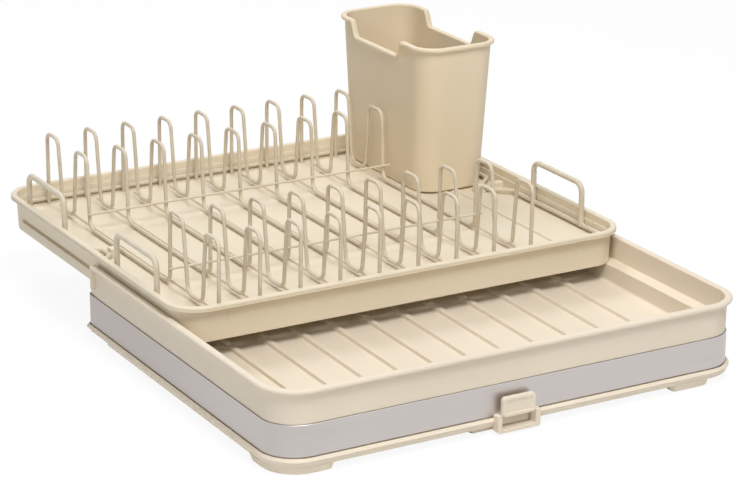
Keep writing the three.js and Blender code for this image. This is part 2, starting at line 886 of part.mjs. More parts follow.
// A thin wire along X in front of the leg of row two or row three beside the low run
function makeCrossWire(foot, top) {
  const share = (crossWireHeight - runHeight) / (loopTop - runHeight);
  const y = foot + (top - foot) * share - (plateWire / 2 + gap + crossWire / 2);
  const lastPlateWire = firstPlateWire + (plateWireCount - 1) * plateWirePitch;
  return wire([
    [at(firstPlateWire - plateWire / 2, y, crossWireHeight)],
    [at(lastPlateWire + crossWireTail, y, crossWireHeight)],
  ], crossWire, wireSides);
}

// A handle: an upright loop that stands on a side run of the frame wire
function makeHandle(x, y) {
  const foot = frameHeight + frameWire / 2 + gap;
  return wire([
    [at(x, y, foot)],
    [at(x, y, handleHeight), handleRadius],
    [at(x, y + handleWidth, handleHeight), handleRadius],
    [at(x, y + handleWidth, foot)],
  ], handleWire, thickWireSides);
}

function makeHolder() {
  const x1 = baseWidth + trayReach - holderFromSide;
  const y1 = trayBack - holderFromBack;
  const rim = {
    x0: x1 - holderWidth, x1, y0: y1 - holderLength, y1, front: holderCorner, back: holderCorner,
  };
  const taper = (rect, share) => ({
    x0: rect.x0 + holderTaperInner * share,
    x1: rect.x1 - holderTaperSide * share,
    y0: rect.y0 + holderTaperFront * share,
    y1: rect.y1 - holderTaperBack * share,
    front: rect.front,
    back: rect.back,
  });
  const dipStart = rim.y0 + dipFromFront;
  const dipEnd = rim.y1 - dipFromBack;
  const stations = [dipStart - dipRamp, dipStart, dipEnd, dipEnd + dipRamp];
  // The rim is lower between the two ramps, on the two long sides
  const rimAt = (below) => (point) => {
    const before = (point.y - (dipStart - dipRamp)) / dipRamp;
    const after = (dipEnd + dipRamp - point.y) / dipRamp;
    const share = Math.max(0, Math.min(1, before, after));
    return holderRimTop - below - dipDepth * share;
  };
  const outer = inset(rim, holderOverhang);
  const inner = inset(outer, holderWall);
  const foot = trayFloorTop + trayRidgeHeight + gap;
  const shell = loft([
    [taper(outer, 1), foot],
    [outer, rimAt(holderRimHeight)],
    [inset(rim, gap), rimAt(holderRimHeight)],
    [rim, rimAt(holderRimHeight / 2)],
    [inset(rim, rimRound), rimAt(0)],
    [inset(inner, -gap), rimAt(gap)],
    [inner, rimAt(rimRound)],
    [taper(inner, 1), foot + holderWall],
  ], stations);
  let holder = toSolid(shell);
  const floor = taper(inner, 1);
  const pitch = (floor.y1 - floor.y0) / (holderSlotCount + 1);
  for (let index = 1; index <= holderSlotCount; index += 1) {
    const x = (floor.x0 + floor.x1) / 2;
    const y = floor.y0 + pitch * index;
    holder = holder.subtract(box(
      x - holderSlotLength / 2, x + holderSlotLength / 2, y - holderSlotWidth / 2,
      y + holderSlotWidth / 2, foot - overrun, foot + holderWall + overrun,
    ));
  }
  return toGeometry(holder);
}

addPiece('base_tray', makeBaseTray(), cream);
addPiece('bottom_frame', makeBottomFrame(), cream);
addPiece('steel_band', makeSteelBand(), brushedSteel);
padPlaces().forEach(([x, y], index) => {
  const rect = padRect(x, y);
  const pad = toSolid(loft([[rect, 0], [rect, padThickness]]));
  addPiece(`foot_pad_${index + 1}`, toGeometry(pad), paleRubber);
});
addPiece('drain_spout', makeSpout(), cream);
addPiece('drain_gate', makeGate(), cream);
addPiece('slide_tray', makeSlideTray(), cream);
addPiece('rack_catch_left', makeCatch(1), cream);
addPiece('rack_catch_right', makeCatch(-1), cream);
addPiece('rack_frame_front', makeFrameEnd(frameFront, 1), coatedWire);
addPiece('rack_frame_back', makeFrameEnd(frameBack, -1), coatedWire);
addPiece('rack_frame_left', makeFrameSide(1), coatedWire);
addPiece('rack_frame_right', makeFrameSide(-1), coatedWire);
for (let index = 0; index < plateWireCount; index += 1) {
  const x = firstPlateWire + index * plateWirePitch;
  addPiece(`plate_wire_${index + 1}`, makePlateWire(x), coatedWire);
}
const { rowTwo, rowThree } = legPlaces();
const backHandle = trayBack - backHandleFromBack;
const frontHandle = trayFront + frontHandleFromFront;
addPiece('cross_wire_back', makeCrossWire(rowTwo[3], rowTwo[2]), coatedWire);
addPiece('cross_wire_front', makeCrossWire(rowThree[0], rowThree[1]), coatedWire);
addPiece('handle_back_left', makeHandle(frameLeft + handleInset, backHandle), coatedWire);
addPiece('handle_back_right', makeHandle(frameRight - handleInset, backHandle), coatedWire);
addPiece('handle_front_left', makeHandle(frameLeft + handleInset, frontHandle), coatedWire);
addPiece('handle_front_right', makeHandle(frameRight - handleInset, frontHandle), coatedWire);
addPiece('utensil_holder', makeHolder(), cream);

// The origin is at the middle of the footprint, between the spout and the tray's rear rim
group.position.set(-middle, (spoutReach - trayBack) / 2, 0);

export default group;
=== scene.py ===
"""Looks for an expandable dish drainer: a base tray with a steel band, an upper tray that slides
out of it, a wire plate rack, a cutlery holder and a drain spout with a sliding gate.

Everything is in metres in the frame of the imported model. Most shapes are rounded rectangles
drawn in or out and stacked into shells, or a round section carried along a bent wire.
"""
import math

import bpy
import numpy as np
from bpy.props import FloatProperty, FloatVectorProperty, IntProperty, PointerProperty
from bpy.types import Operator, Panel, PropertyGroup
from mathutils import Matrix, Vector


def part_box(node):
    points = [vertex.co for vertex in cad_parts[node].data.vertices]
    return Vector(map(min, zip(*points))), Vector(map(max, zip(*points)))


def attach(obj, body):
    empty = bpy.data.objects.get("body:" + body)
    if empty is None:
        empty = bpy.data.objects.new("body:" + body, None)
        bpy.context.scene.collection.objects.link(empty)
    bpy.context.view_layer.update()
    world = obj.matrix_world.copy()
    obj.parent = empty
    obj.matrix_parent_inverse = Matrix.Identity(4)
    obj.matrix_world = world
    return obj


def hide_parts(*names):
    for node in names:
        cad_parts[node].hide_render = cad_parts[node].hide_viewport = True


bl_info = {
    "name": "Dish Drainer Builder",
    "version": (1, 0, 0),
    "blender": (4, 5, 0),
    "location": "View3D > Sidebar > Drainer",
    "description": "Builds the pieces and finishes of an expandable dish drainer",
    "category": "Object",
}

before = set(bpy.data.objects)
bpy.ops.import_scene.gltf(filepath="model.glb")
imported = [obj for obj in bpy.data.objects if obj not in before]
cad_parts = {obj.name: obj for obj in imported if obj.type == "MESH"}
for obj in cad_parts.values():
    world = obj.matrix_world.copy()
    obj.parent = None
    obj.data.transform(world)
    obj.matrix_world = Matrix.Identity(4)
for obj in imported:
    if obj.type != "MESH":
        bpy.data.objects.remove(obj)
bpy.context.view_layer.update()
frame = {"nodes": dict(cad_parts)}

MM = 0.001
GAP = 0.3 * MM  # between pieces that touch
QUARTER = math.pi / 2

BAND_LOW, BAND_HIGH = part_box("steel_band")
TRAY_LOW, TRAY_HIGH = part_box("slide_tray")
SPOUT_LOW, SPOUT_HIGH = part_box("drain_spout")
GATE_LOW, GATE_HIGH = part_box("drain_gate")
HOLDER_LOW, HOLDER_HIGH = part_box("utensil_holder")
CATCH_LOW, CATCH_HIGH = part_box("rack_catch_left")
SIDE_WIRE_LOW, SIDE_WIRE_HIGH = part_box("rack_frame_left")
FRONT_WIRE_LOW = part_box("rack_frame_front")[0]
BACK_WIRE_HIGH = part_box("rack_frame_back")[1]
BASE_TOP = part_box("base_tray")[1].z
SPOUT_MIDDLE = (SPOUT_LOW.x + SPOUT_HIGH.x) / 2
LEDGE_TOP = TRAY_LOW.z - GAP
TRAY_FLOOR = CATCH_LOW.z - GAP
PLATE_WIRES = [f"plate_wire_{number}" for number in range(1, 10)]

# Heights and places that two pieces share
WALL_END = 17 * MM  # the base's side walls stop this far from the back of the band
GROOVE_LOW, GROOVE_HIGH = 60.3 * MM, 64.3 * MM
RIDGE_TOP, RIDGE_FOOT = 2.4 * MM, 3.2 * MM  # from a ridge's middle
RIDGE_EASE = 2 * MM  # run-out at the ends of a ridge


# Values that a user would change

def length(name, description, millimetres):
    return FloatProperty(
        name=name, description=description, default=millimetres * MM, unit="LENGTH")


def colour(name, description, default):
    return FloatVectorProperty(
        name=name, description=description, default=default, subtype="COLOR", min=0, max=1)


class BaseSizes(PropertyGroup):
    wall: length("Wall", "Thickness of the moulded walls", 2.2)
    corner: length("Corner", "Radius of the front corners at the steel band", 30)
    rear_corner: length("Rear corner", "Radius of the rear corners at the steel band", 9)
    ledge: length("Ledge", "Inner edge of the ledge from the band's face", 15.4)
    rim_height: length("Rim height", "Height of the rolled rim", 3.8)
    rim_reach: length("Rim reach", "Rim outside the steel band's face", 4.0)
    floor_front: length("Floor, front", "Height of the floor at the front", 33)
    floor_back: length("Floor, back", "Height of the floor at the back", 38)
    ridge_pitch: length("Ridge pitch", "Distance between the floor's ridges", 32.2)
    ridge_count: IntProperty(name="Ridges", description="Ridges on the floor", default=11)
    ridge_height: length("Ridge height", "Height of a ridge on the floor", 2.8)
    gutter_width: length("Gutter width", "Width of the gutter along the front", 34)
    gutter_inset: length("Gutter inset", "End of the gutter from the band's face", 22)
    gutter_floor: length("Gutter floor", "Height of the gutter's floor", 19.5)
    well_left: length("Well, left", "Well's left side from the spout's middle", 36)
    well_right: length("Well, right", "Well's right side from the spout's middle", 22)
    well_floor: length("Well floor", "Height of the well's floor", 5)
    band_thickness: length("Band thickness", "Thickness of the steel band", 0.8)
    band_return: length("Band return", "Steel band's ends along the back", 14)


class FrameSizes(PropertyGroup):
    flange: length("Flange", "Inner edge of the flange from the band's face", 20)
    reach: length("Reach", "Skirt outside the band's face", 3.2)
    step: length("Step", "Underside of the shallow skirt round the back", 10.6)
    shallow: length("Shallow part", "Length of each side with the shallow skirt", 44)
    bevel: length("Bevel", "Height of the bevel under the steel band", 2.4)
    spout_wall: length("Spout wall", "Width of the spout's posts", 4.1)
    spout_floor: length("Spout floor", "Height of the spout's floor", 5)


class TraySizes(PropertyGroup):
    corner: length("Corner", "Radius of the rim's corners", 29.5)
    rim_height: length("Rim height", "Height of the rolled rim", 4.3)
    rim_width: length("Rim width", "Width of the rim, wall and lip together", 6.2)
    roll: length("Roll", "Radius of the rim's outer edge", 1.8)
    overhang: length("Overhang", "Lip outside the wall", 4.9)
    shoulder: length("Shoulder", "Step inside the wall below the rim", 0.6)
    draft: length("Draft", "How far the wall leans in on its way down", 1.0)
    skirt: length("Skirt", "Thickness of the wall below the floor", 4.0)
    floor: length("Floor", "Thickness of the floor", 2.2)
    ridge_height: length("Ridge height", "Height of a ridge on the floor", 2.0)
    low_ridge: length("Low ridge", "Height of a ridge under the holder", 1.2)
    ridge_count: IntProperty(name="Ridges", description="Ridges on the floor", default=10)
    groove: length("Groove", "Depth of the groove in each side", 3.3)
    groove_length: length("Groove length", "Length of the groove in each side", 171)
    mark: length("Mark", "Height of the small marks on the front", 9.5)
    slot_count: IntProperty(name="Drain slots", description="Slots along the front", default=8)
    slot_length: length("Slot length", "Length of a drain slot", 34)
    slot_width: length("Slot width", "Width of a drain slot", 3.6)


class RackSizes(PropertyGroup):
    frame_wire: length("Frame wire", "Diameter of the frame wire", 4.0)
    handle_wire: length("Handle wire", "Diameter of the handle wire", 5.0)
    plate_wire: length("Plate wire", "Diameter of the plate wires", 3.4)
    cross_wire: length("Cross wire", "Diameter of the two cross wires", 2.2)
    loop_radius: length("Loop radius", "Bend at the top of a loop", 7.5)
    valley_radius: length("Valley radius", "Bend at the foot of a loop", 9.0)
    loop_top: length("Loop top", "Distance between the bends at the top of a loop", 24.2)
    leg_lean: length("Leg lean", "How far a loop's inner legs lean", 7.3)
    back_valley: length("Back valley", "Gap between the two back loops at their foot", 25)
    front_valley: length("Front valley", "Gap between the two front loops at their foot", 27.5)
    jog_length: length("Jog length", "Length of the frame wire's jog", 46)
    jog_depth: length("Jog depth", "Depth of the frame wire's jog", 16.2)
    jog_radius: length("Jog radius", "Bends of the jog", 6)
    handle_radius: length("Handle radius", "Bends of a handle", 9)


class HolderSizes(PropertyGroup):
    wall: length("Wall", "Thickness of the wall", 2.0)
    corner: length("Corner", "Radius of the rim's corners", 24)
    overhang: length("Overhang", "Lip outside the wall", 3.6)
    rim_height: length("Rim height", "Height of the rolled rim", 4.0)
    taper_inner: length("Inner taper", "How far the side by the wires leans in", 1.5)
    taper_side: length("Side taper", "How far the other side leans in", 6.5)
    taper_front: length("Front taper", "How far the front leans in", 6.5)
    taper_back: length("Back taper", "How far the back leans in", 11)
    dip: length("Dip", "Depth of the lower part of the rim", 14.7)
    dip_front: length("Dip, front", "Start of the dip from the front of the rim", 52.5)
    dip_back: length("Dip, back", "End of the dip from the back of the rim", 45.3)
    ramp: length("Ramp", "Length of the ramp at each end of the dip", 10)
    slot_count: IntProperty(name="Drain slots", description="Slots in the floor", default=4)
    slot_length: length("Slot length", "Length of a drain slot", 34)
    slot_width: length("Slot width", "Width of a drain slot", 3.4)


class Finishes(PropertyGroup):
    cream: colour("Base cream", "Colour of the base's plastic", (0.805, 0.712, 0.575))
    cream_deep: colour("Base cream, deep", "Its darker tone", (0.765, 0.67, 0.535))
    upper: colour("Upper cream", "Colour of the upper pieces' plastic", (0.80, 0.712, 0.555))
    upper_deep: colour("Upper cream, deep", "Its darker tone", (0.76, 0.667, 0.51))
    cup: colour("Holder cream", "Colour of the holder's plastic", (0.82, 0.705, 0.52))
    cup_deep: colour("Holder cream, deep", "Its darker tone", (0.785, 0.665, 0.48))
    wire: colour("Coated wire", "Colour of the wires", (0.72, 0.64, 0.50))
    wire_deep: colour("Coated wire, deep", "Its darker tone", (0.65, 0.565, 0.43))
    steel: colour("Brushed steel", "Light tone of the band", (0.635, 0.595, 0.575))
    steel_deep: colour("Brushed steel, deep", "Dark tone of the band", (0.53, 0.495, 0.475))
    rubber: colour("Pad rubber", "Colour of the pads", (0.55, 0.49, 0.40))
    ground: colour("Ground", "Colour of the surface it stands on", (0.9, 0.9, 0.9))


class DrainerProperties(PropertyGroup):
    base: PointerProperty(type=BaseSizes)
    frame: PointerProperty(type=FrameSizes)
    tray: PointerProperty(type=TraySizes)
    rack: PointerProperty(type=RackSizes)
    holder: PointerProperty(type=HolderSizes)
    finishes: PointerProperty(type=Finishes)


# Shapes as arrays

class Rect:
    """A rounded rectangle: x0, x1, y0, y1, the radius of all four corners or a list for the
    front left, front right, back right and back left, and the least radius of a corner."""

    def __init__(self, x0, x1, y0, y1, radii, least=1.0 * MM):
        self.x0, self.x1, self.y0, self.y1 = x0, x1, y0, y1
        self.radii = radii if isinstance(radii, list) else [radii] * 4
        self.least = least

    def inset(self, amount):
        """Every side drawn in by the amount, and the radii made smaller by it."""
        radii = [max(radius - amount, self.least) for radius in self.radii]
        return Rect(self.x0 + amount, self.x1 - amount, self.y0 + amount, self.y1 - amount,
                    radii, self.least)


class Layout:
    """Where a rounded rectangle's points lie: shares across the front and back, along the sides
    between the corners, and the number of steps in a corner."""

    def __init__(self, across=(), along=(), steps=8):
        self.across = np.unique(np.concatenate([[0, 1], across]))
        self.along = np.unique(np.asarray(along, float))
        self.angle = np.linspace(0, QUARTER, steps + 1)
        self.rows = 2 * len(self.angle) + len(self.along)
        self.columns = len(self.across)
        self.count = 2 * (self.columns - 1) + 2 * (self.rows - 1)

    def edge(self, near, painted_shade_share, side, y0, y1):
        """One side from front to back. A corner's point at angle a is r - r sin a in from the
        side and r - r cos a back from the front; along the side x is constant."""
        sin, cos = np.sin(self.angle), np.cos(self.angle)
        inward = np.concatenate([near - near * sin, np.zeros(len(self.along)), painted_shade_share - painted_shade_share * cos])
        run = y0 + near + self.along * (y1 - painted_shade_share - y0 - near)
        y = np.concatenate([y0 + near - near * cos, run, y1 - painted_shade_share + painted_shade_share * sin])
        return np.stack([side[0] + side[1] * inward, y], -1)

    def edges(self, rect):
        """The left and the right side."""
        front_left, front_right, back_right, back_left = rect.radii
        left = self.edge(front_left, back_left, (rect.x0, 1), rect.y0, rect.y1)
        right = self.edge(front_right, back_right, (rect.x1, -1), rect.y0, rect.y1)
        return left, right

    def grid(self, rect):
        """Rows of points from the left edge to the right edge: left + (right - left) * share."""
        left, right = self.edges(rect)
        return left[:, None] + (right - left)[:, None] * self.across[None, :, None]

    def ring(self, rect):
        """The points round the edge, counterclockwise from the left end of the front."""
        left, right = self.edges(rect)
        share = self.across[:, None]
        front = left[0] + (right[0] - left[0]) * share
        back = right[-1] + (left[-1] - right[-1]) * (1 - share[::-1])
        return np.concatenate([front, right[1:], back[1:], left[-2:0:-1]])

    def border(self):
        """The grid's border points as indices, in the order of ring."""
        index = np.arange(self.rows * self.columns).reshape(self.rows, self.columns)
        return np.concatenate([index[0], index[1:, -1], index[-1, -2::-1], index[-2:0:-1, 0]])


def lifted(points, level):
    """Points with their heights. A level is one height, or a function of x and y."""
    z = level(points[..., 0], points[..., 1]) if callable(level) else level
    z = np.broadcast_to(np.asarray(z, float), points.shape[:-1])
    return np.concatenate([points, z[..., None]], -1)


def ramp(value, start, end):
    """A smooth rise from 0 at start to 1 at end: 3 t^2 - 2 t^3 of the clamped share t."""
    share = np.clip((value - start) / (end - start), 0, 1)
    return share * share * (3 - 2 * share)


def between(value, start, end, ease):
    """1 between start and end, rising and falling smoothly over the ease inside each."""
    return ramp(value, start, start + ease) * (1 - ramp(value, end - ease, end))


def mirrored(places):
    """Distances in millimetres to both sides of a middle, in metres."""
    places = np.array(places) * MM
    return np.concatenate([-places[::-1], places])


def mm(places, x=0.0, z=0.0):
    """Places of a section in millimetres from x and z, in metres."""
    return [(x + across * MM, z + up * MM) for across, up in places]


def arc(centre, radius, start, end, steps):
    """Points on a circle in a section: centre + radius (cos a, sin a), for a in quarter turns."""
    angle = np.linspace(start, end, steps + 1) * QUARTER
    return [(centre[0] + radius * math.cos(a), centre[1] + radius * math.sin(a)) for a in angle]


def fillet(radius, steps=4):
    """A quarter round up a wall: (r - r sin a, r - r cos a), for a from 0 to a quarter turn."""
    return [(radius * (1 - math.sin(a)), radius * (1 - math.cos(a)))
            for a in np.linspace(0, QUARTER, steps + 1)]


def rings(rect, section):
    """The rectangle drawn in by each amount of a section, with the section's level there."""
    return [(rect.inset(inward), level) for inward, level in section]


def quads(low, high):
    """Faces between two closed loops of vertex indices."""
    return np.stack([low, high, np.roll(high, -1, -1), np.roll(low, -1, -1)], -1)


def shell(layout, top, sides, bottom):
    """A closed shell: a grid of points over the top, rings of points over the sides and a grid
    under the bottom. top and bottom are (rectangle, level); a ring is (rectangle, level) or
    (rectangle, level, shift), where shift gives how far a point moves in x."""
    grid = lifted(layout.grid(top[0]), top[1]).reshape(-1, 3)
    parts, loops = [grid], [layout.border()]
    used = len(grid)
    for rect, level, *shift in sides:
        flat = layout.ring(rect)
        if shift:
            flat = flat + np.stack([shift[0](flat), np.zeros(len(flat))], -1)
        parts.append(lifted(flat, level))
        loops.append(np.arange(layout.count) + used)
        used += layout.count
    parts.append(lifted(layout.grid(bottom[0]), bottom[1]).reshape(-1, 3))
    loops.append(layout.border() + used)
    cell = np.arange((layout.rows - 1) * layout.columns).reshape(-1, layout.columns)[:, :-1]
    corner = cell.ravel()
    over = np.stack([corner, corner + 1, corner + layout.columns + 1, corner + layout.columns], -1)
    faces = [over, over[:, ::-1] + used]
    faces += [quads(low, high) for low, high in zip(loops, loops[1:])]
    return np.concatenate(parts), np.concatenate(faces).tolist()


def carried(layout, profile, chosen=None):
    """A section carried round a rounded rectangle. profile is a list of (rectangle, level) that
    closes on itself, and chosen the ring's point indices of an open run, capped at its ends."""
    loops = [lifted(layout.ring(rect), level) for rect, level in profile]
    if chosen is not None:
        loops = [loop[chosen] for loop in loops]
    points = np.stack(loops)
    deep, wide = points.shape[:2]
    index = np.arange(deep * wide).reshape(deep, wide)
    if chosen is None:
        index = np.concatenate([index, index[:, :1]], 1)
    low, high = index, np.roll(index, -1, 0)
    sides = np.stack([low[:, :-1], high[:, :-1], high[:, 1:], low[:, 1:]], -1).reshape(-1, 4)
    faces = sides.tolist()
    if chosen is not None:
        faces += [index[:, 0][::-1].tolist(), index[:, -1].tolist()]
    return points.reshape(-1, 3), faces


def joined(shapes):
    """Several (points, faces) as one."""
    points, faces, used = [], [], 0
    for part, cells in shapes:
        points.append(part)
        faces += [[corner + used for corner in cell] for cell in cells]
        used += len(part)
    return np.concatenate(points), faces


def bent(corners, closed=False, steps=8):
    """A wire's centre line and directions: straight runs joined by arcs. corners is a list of
    (point, radius), and the ends of an open wire have no radius."""
    points = np.array([corner[0] for corner in corners], float)
    count = len(points)
    line, ways = [], []
    for number, (_, radius) in enumerate(corners):
        here = points[number]
        if not closed and number in (0, count - 1):
            way = points[1] - here if number == 0 else here - points[-2]
            line.append(here[None])
            ways.append((way / np.linalg.norm(way))[None])
            continue
        before = here - points[number - 1]
        after = points[(number + 1) % count] - here
        before, after = before / np.linalg.norm(before), after / np.linalg.norm(after)
        turn = math.acos(float(np.clip(before @ after, -1, 1)))
        start = here - before * radius * math.tan(turn / 2)
        side = after - before * (before @ after)
        side = side / np.linalg.norm(side)
        angle = np.linspace(0, turn, max(3, math.ceil(steps * turn / QUARTER) + 1))[:, None]
        line.append(start + radius * (before * np.sin(angle) + side * (1 - np.cos(angle))))
        ways.append(before * np.cos(angle) + side * np.sin(angle))
    return np.concatenate(line), np.concatenate(ways)


DOME = 3  # rings in a wire's domed end


def tube(line, ways, plane, radius, sides=14, closed=False):
    """A round wire: centre + radius (cos a * side + sin a * plane) round every point of a line
    that lies in one plane, with domed ends where it is open."""
    plane = np.asarray(plane, float)
    size = np.full(len(line), radius)
    if not closed:
        poles = np.stack([line[0] - ways[0] * radius, line[-1] + ways[-1] * radius])
        dome = np.linspace(0, QUARTER, DOME + 2)[1:-1]
        first = line[0] - ways[0] * radius * np.sin(dome[::-1])[:, None]
        last = line[-1] + ways[-1] * radius * np.sin(dome)[:, None]
        line = np.concatenate([first, line, last])
        ways = np.concatenate([ways[:1].repeat(DOME, 0), ways, ways[-1:].repeat(DOME, 0)])
        size = np.concatenate([radius * np.cos(dome[::-1]), size, radius * np.cos(dome)])
    side = np.cross(ways, plane)
    angle = np.linspace(0, 4 * QUARTER, sides, endpoint=False)[None, :, None]
    round_it = np.cos(angle) * side[:, None] + np.sin(angle) * plane
    points = (line[:, None] + size[:, None, None] * round_it).reshape(-1, 3)
    index = np.arange(len(points)).reshape(-1, sides)
    rows = np.concatenate([index, index[:1]]) if closed else index
    faces = quads(rows[:-1], rows[1:]).reshape(-1, 4).tolist()
    if not closed:
        tip = len(points)
        points = np.concatenate([points, poles])
        start, end = index[0], index[-1]
        faces += np.stack([np.full(sides, tip), start, np.roll(start, -1)], -1).tolist()
        faces += np.stack([np.full(sides, tip + 1), np.roll(end, -1), end], -1).tolist()
    return points, faces


def bead(centre, radii, sides=10):
    """A small ball of weld metal: a stack of rings of radius r cos b at height r sin b. centre
    is in metres, and the three radii in millimetres."""
    spread = np.linspace(-QUARTER, QUARTER, 7)[1:-1]
    angle = np.linspace(0, 4 * QUARTER, sides, endpoint=False)
    x = np.cos(spread)[:, None] * np.cos(angle)
    y = np.cos(spread)[:, None] * np.sin(angle)
    z = np.broadcast_to(np.sin(spread)[:, None], x.shape)
    points = np.stack([x, y, z], -1).reshape(-1, 3)
    points = np.concatenate([points, [[0, 0, -1], [0, 0, 1]]])
    index = np.arange(len(spread) * sides).reshape(len(spread), sides)
    low, high = index[:-1], index[1:]
    faces = np.stack([low, np.roll(low, -1, 1), np.roll(high, -1, 1), high], -1)
    foot, tip = len(points) - 2, len(points) - 1
    caps = [np.stack([np.full(sides, foot), np.roll(index[0], -1), index[0]], -1),
            np.stack([np.full(sides, tip), index[-1], np.roll(index[-1], -1)], -1)]
    faces = faces.reshape(-1, 4).tolist() + caps[0].tolist() + caps[1].tolist()
    return np.asarray(centre) + points * np.array(radii) * MM, faces


def block(rect, low, high, soft):
    """A rounded block: the rectangle from low to high, with edges of radius soft."""
    corner = fillet(soft, 3)
    sides = rings(rect, [(inward, high - down) for inward, down in corner[1:]])
    sides += rings(rect, [(inward, low + up) for inward, up in corner[:0:-1]])
    return shell(Layout(steps=5), (rect.inset(soft), high), sides, (rect.inset(soft), low))


def piece(name, shape, body, finish, replaces, sharp=40, uv=None):
    """Makes a mesh piece, smooth but for edges sharper than the angle, ties it to its body and
    its finish, and hides the CAD nodes that it stands for."""
    points, faces = shape
    mesh = bpy.data.meshes.new(name)
    mesh.from_pydata(points.tolist(), [], faces)
    if uv is not None:
        corner = np.zeros(len(mesh.loops), np.int32)
        mesh.loops.foreach_get("vertex_index", corner)
        layer = mesh.uv_layers.new(name="length_and_height")
        layer.data.foreach_set("uv", uv[corner].astype(np.float32).ravel())
    mesh.polygons.foreach_set("use_smooth", np.ones(len(mesh.polygons), bool))
    mesh.validate()
    mesh.set_sharp_from_angle(angle=math.radians(sharp))
    slot, material = finish_of(finish)
    mesh.materials.append(material)
    made = bpy.data.objects.new(name, mesh)
    bpy.context.scene.collection.objects.link(made)
    weighted = made.modifiers.new("Even shading", "WEIGHTED_NORMAL")
    weighted.keep_sharp = True
    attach(made, body)
    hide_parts(*replaces)
    return made


def cut(made, shape):
    """Takes a closed shape out of a piece."""
    mesh = bpy.data.meshes.new("cutter")
    mesh.from_pydata(shape[0].tolist(), [], shape[1])
    cutter = bpy.data.objects.new("cutter", mesh)
    bpy.context.scene.collection.objects.link(cutter)
    modifier = made.modifiers.new("Cut", "BOOLEAN")
    modifier.operation = "DIFFERENCE"
    modifier.solver = "MANIFOLD"
    modifier.object = cutter
    made.modifiers.move(len(made.modifiers) - 1, 0)
    bpy.context.view_layer.objects.active = made
    with bpy.context.temp_override(object=made, active_object=made, selected_objects=[made]):
        bpy.ops.object.modifier_apply(modifier=modifier.name)
    bpy.data.objects.remove(cutter)
    bpy.data.meshes.remove(mesh)


def soften(made, width):
    """Rounds a piece's sharp edges."""
    bevel = made.modifiers.new("Soft edges", "BEVEL")
    bevel.width = width
    bevel.segments = 3
    bevel.limit_method = "ANGLE"
    bevel.angle_limit = math.radians(35)
    made.modifiers.move(len(made.modifiers) - 1, 0)


# Finishes

class Socket:
    """A shader socket that can be used in sums: each sum adds a Math node."""

    def __init__(self, paint, socket):
        self.paint, self.socket = paint, socket

    def math(self, operation, *values):
        return self.paint.node("ShaderNodeMath", {"operation": operation}, values, "Value")

    def __add__(self, other):
        return self.math("ADD", self, other)

    def __sub__(self, other):
        return self.math("SUBTRACT", self, other)

    def __mul__(self, other):
        return self.math("MULTIPLY", self, other)

    def __rsub__(self, other):
        return self.math("SUBTRACT", other, self)

    __radd__, __rmul__ = __add__, __mul__


class Paint:
    """The nodes of one material, or of the world."""

    def __init__(self, owner):
        self.owner = owner
        owner.use_nodes = True
        self.tree = owner.node_tree
        self.tree.nodes.clear()

    def node(self, kind, settings, inputs, output):
        """Adds a node: its settings first, then the values or links of its sockets, which are
        given by name or in order."""
        made = self.tree.nodes.new(kind)
        for key, value in settings.items():
            setattr(made, key, value)
        pairs = inputs.items() if isinstance(inputs, dict) else enumerate(inputs)
        for key, value in pairs:
            if isinstance(value, Socket):
                self.tree.links.new(value.socket, made.inputs[key])
            else:
                made.inputs[key].default_value = value
        return Socket(self, made.outputs[output])

    def place(self, output="Object"):
        return self.node("ShaderNodeTexCoord", {}, {}, output)

    def noise(self, vector, scale, detail, roughness=0.5, stretch=None):
        """Noise from 0 to 1, on coordinates stretched first where that is asked for."""
        if stretch:
            inputs = {"Vector": vector, "Scale": stretch}
            vector = self.node("ShaderNodeMapping", {}, inputs, "Vector")
        inputs = {"Vector": vector, "Scale": scale, "Detail": detail, "Roughness": roughness}
        return self.node("ShaderNodeTexNoise", {}, inputs, "Fac")

    def spread(self, value, low, high):
        """The value's range from low to high made 0 to 1."""
        inputs = {"Value": value, "From Min": low, "From Max": high}
        return self.node("ShaderNodeMapRange", {"clamp": True}, inputs, "Result")

    def blend(self, share, first, second):
        """The first colour where the share is 0 and the second where it is 1."""
        inputs = {0: share, 6: (*first, 1) if isinstance(first, tuple) else first,
                  7: (*second, 1) if isinstance(second, tuple) else second}
        return self.node("ShaderNodeMix", {"data_type": "RGBA"}, inputs, 2)

    def bump(self, height, strength, distance):
        inputs = {"Height": height, "Strength": strength, "Distance": distance * MM}
        return self.node("ShaderNodeBump", {}, inputs, "Normal")

    def ray_share(self):
        """1 for camera, glossy and transmission rays, and 0 for the others."""
        camera, glossy, through = [
            self.node("ShaderNodeLightPath", {}, {}, output)
            for output in ("Is Camera Ray", "Is Glossy Ray", "Is Transmission Ray")]
        return camera.math("MAXIMUM", camera.math("MAXIMUM", camera, glossy), through)

    def finish(self, **sockets):
        """Ends a material with the main shader, whose sockets are given by name."""
        inputs = {key.replace("_", " "): value for key, value in sockets.items()}
        return self.end(self.node("ShaderNodeBsdfPrincipled", {}, inputs, "BSDF"))

    def end(self, shader, kind="ShaderNodeOutputMaterial"):
        """Links the last shader to the output, and gives back the material or the world."""
        out = self.tree.nodes.new(kind)
        self.tree.links.new(shader.socket, out.inputs["Surface"])
        return self.owner


def moulded_plastic(paint, light, deep):
    """Matte moulded plastic: a fine grain, a faint cloudiness and slightly uneven gloss."""
    where = paint.place()
    cloud = paint.noise(where, scale=7, detail=3)
    flow = paint.noise(where, scale=4, detail=2, stretch=(2.2, 2.2, 9))
    grain = paint.noise(where, scale=2600, detail=2)
    fine = paint.noise(where, scale=900, detail=3)
    shade = paint.spread(cloud * 0.65 + flow * 0.35, 0.36, 0.66)
    tone = paint.blend(shade, deep, light)
    speck = paint.spread(fine, 0.68, 0.78)
    return paint.finish(
        Base_Color=paint.blend(speck * 0.18, tone, deep),
        Roughness=fine * 0.14 + cloud * 0.10 + 0.40,
        Normal=paint.bump(grain + fine * 0.6, strength=0.10, distance=0.12),
        Specular_IOR_Level=0.42,
    )


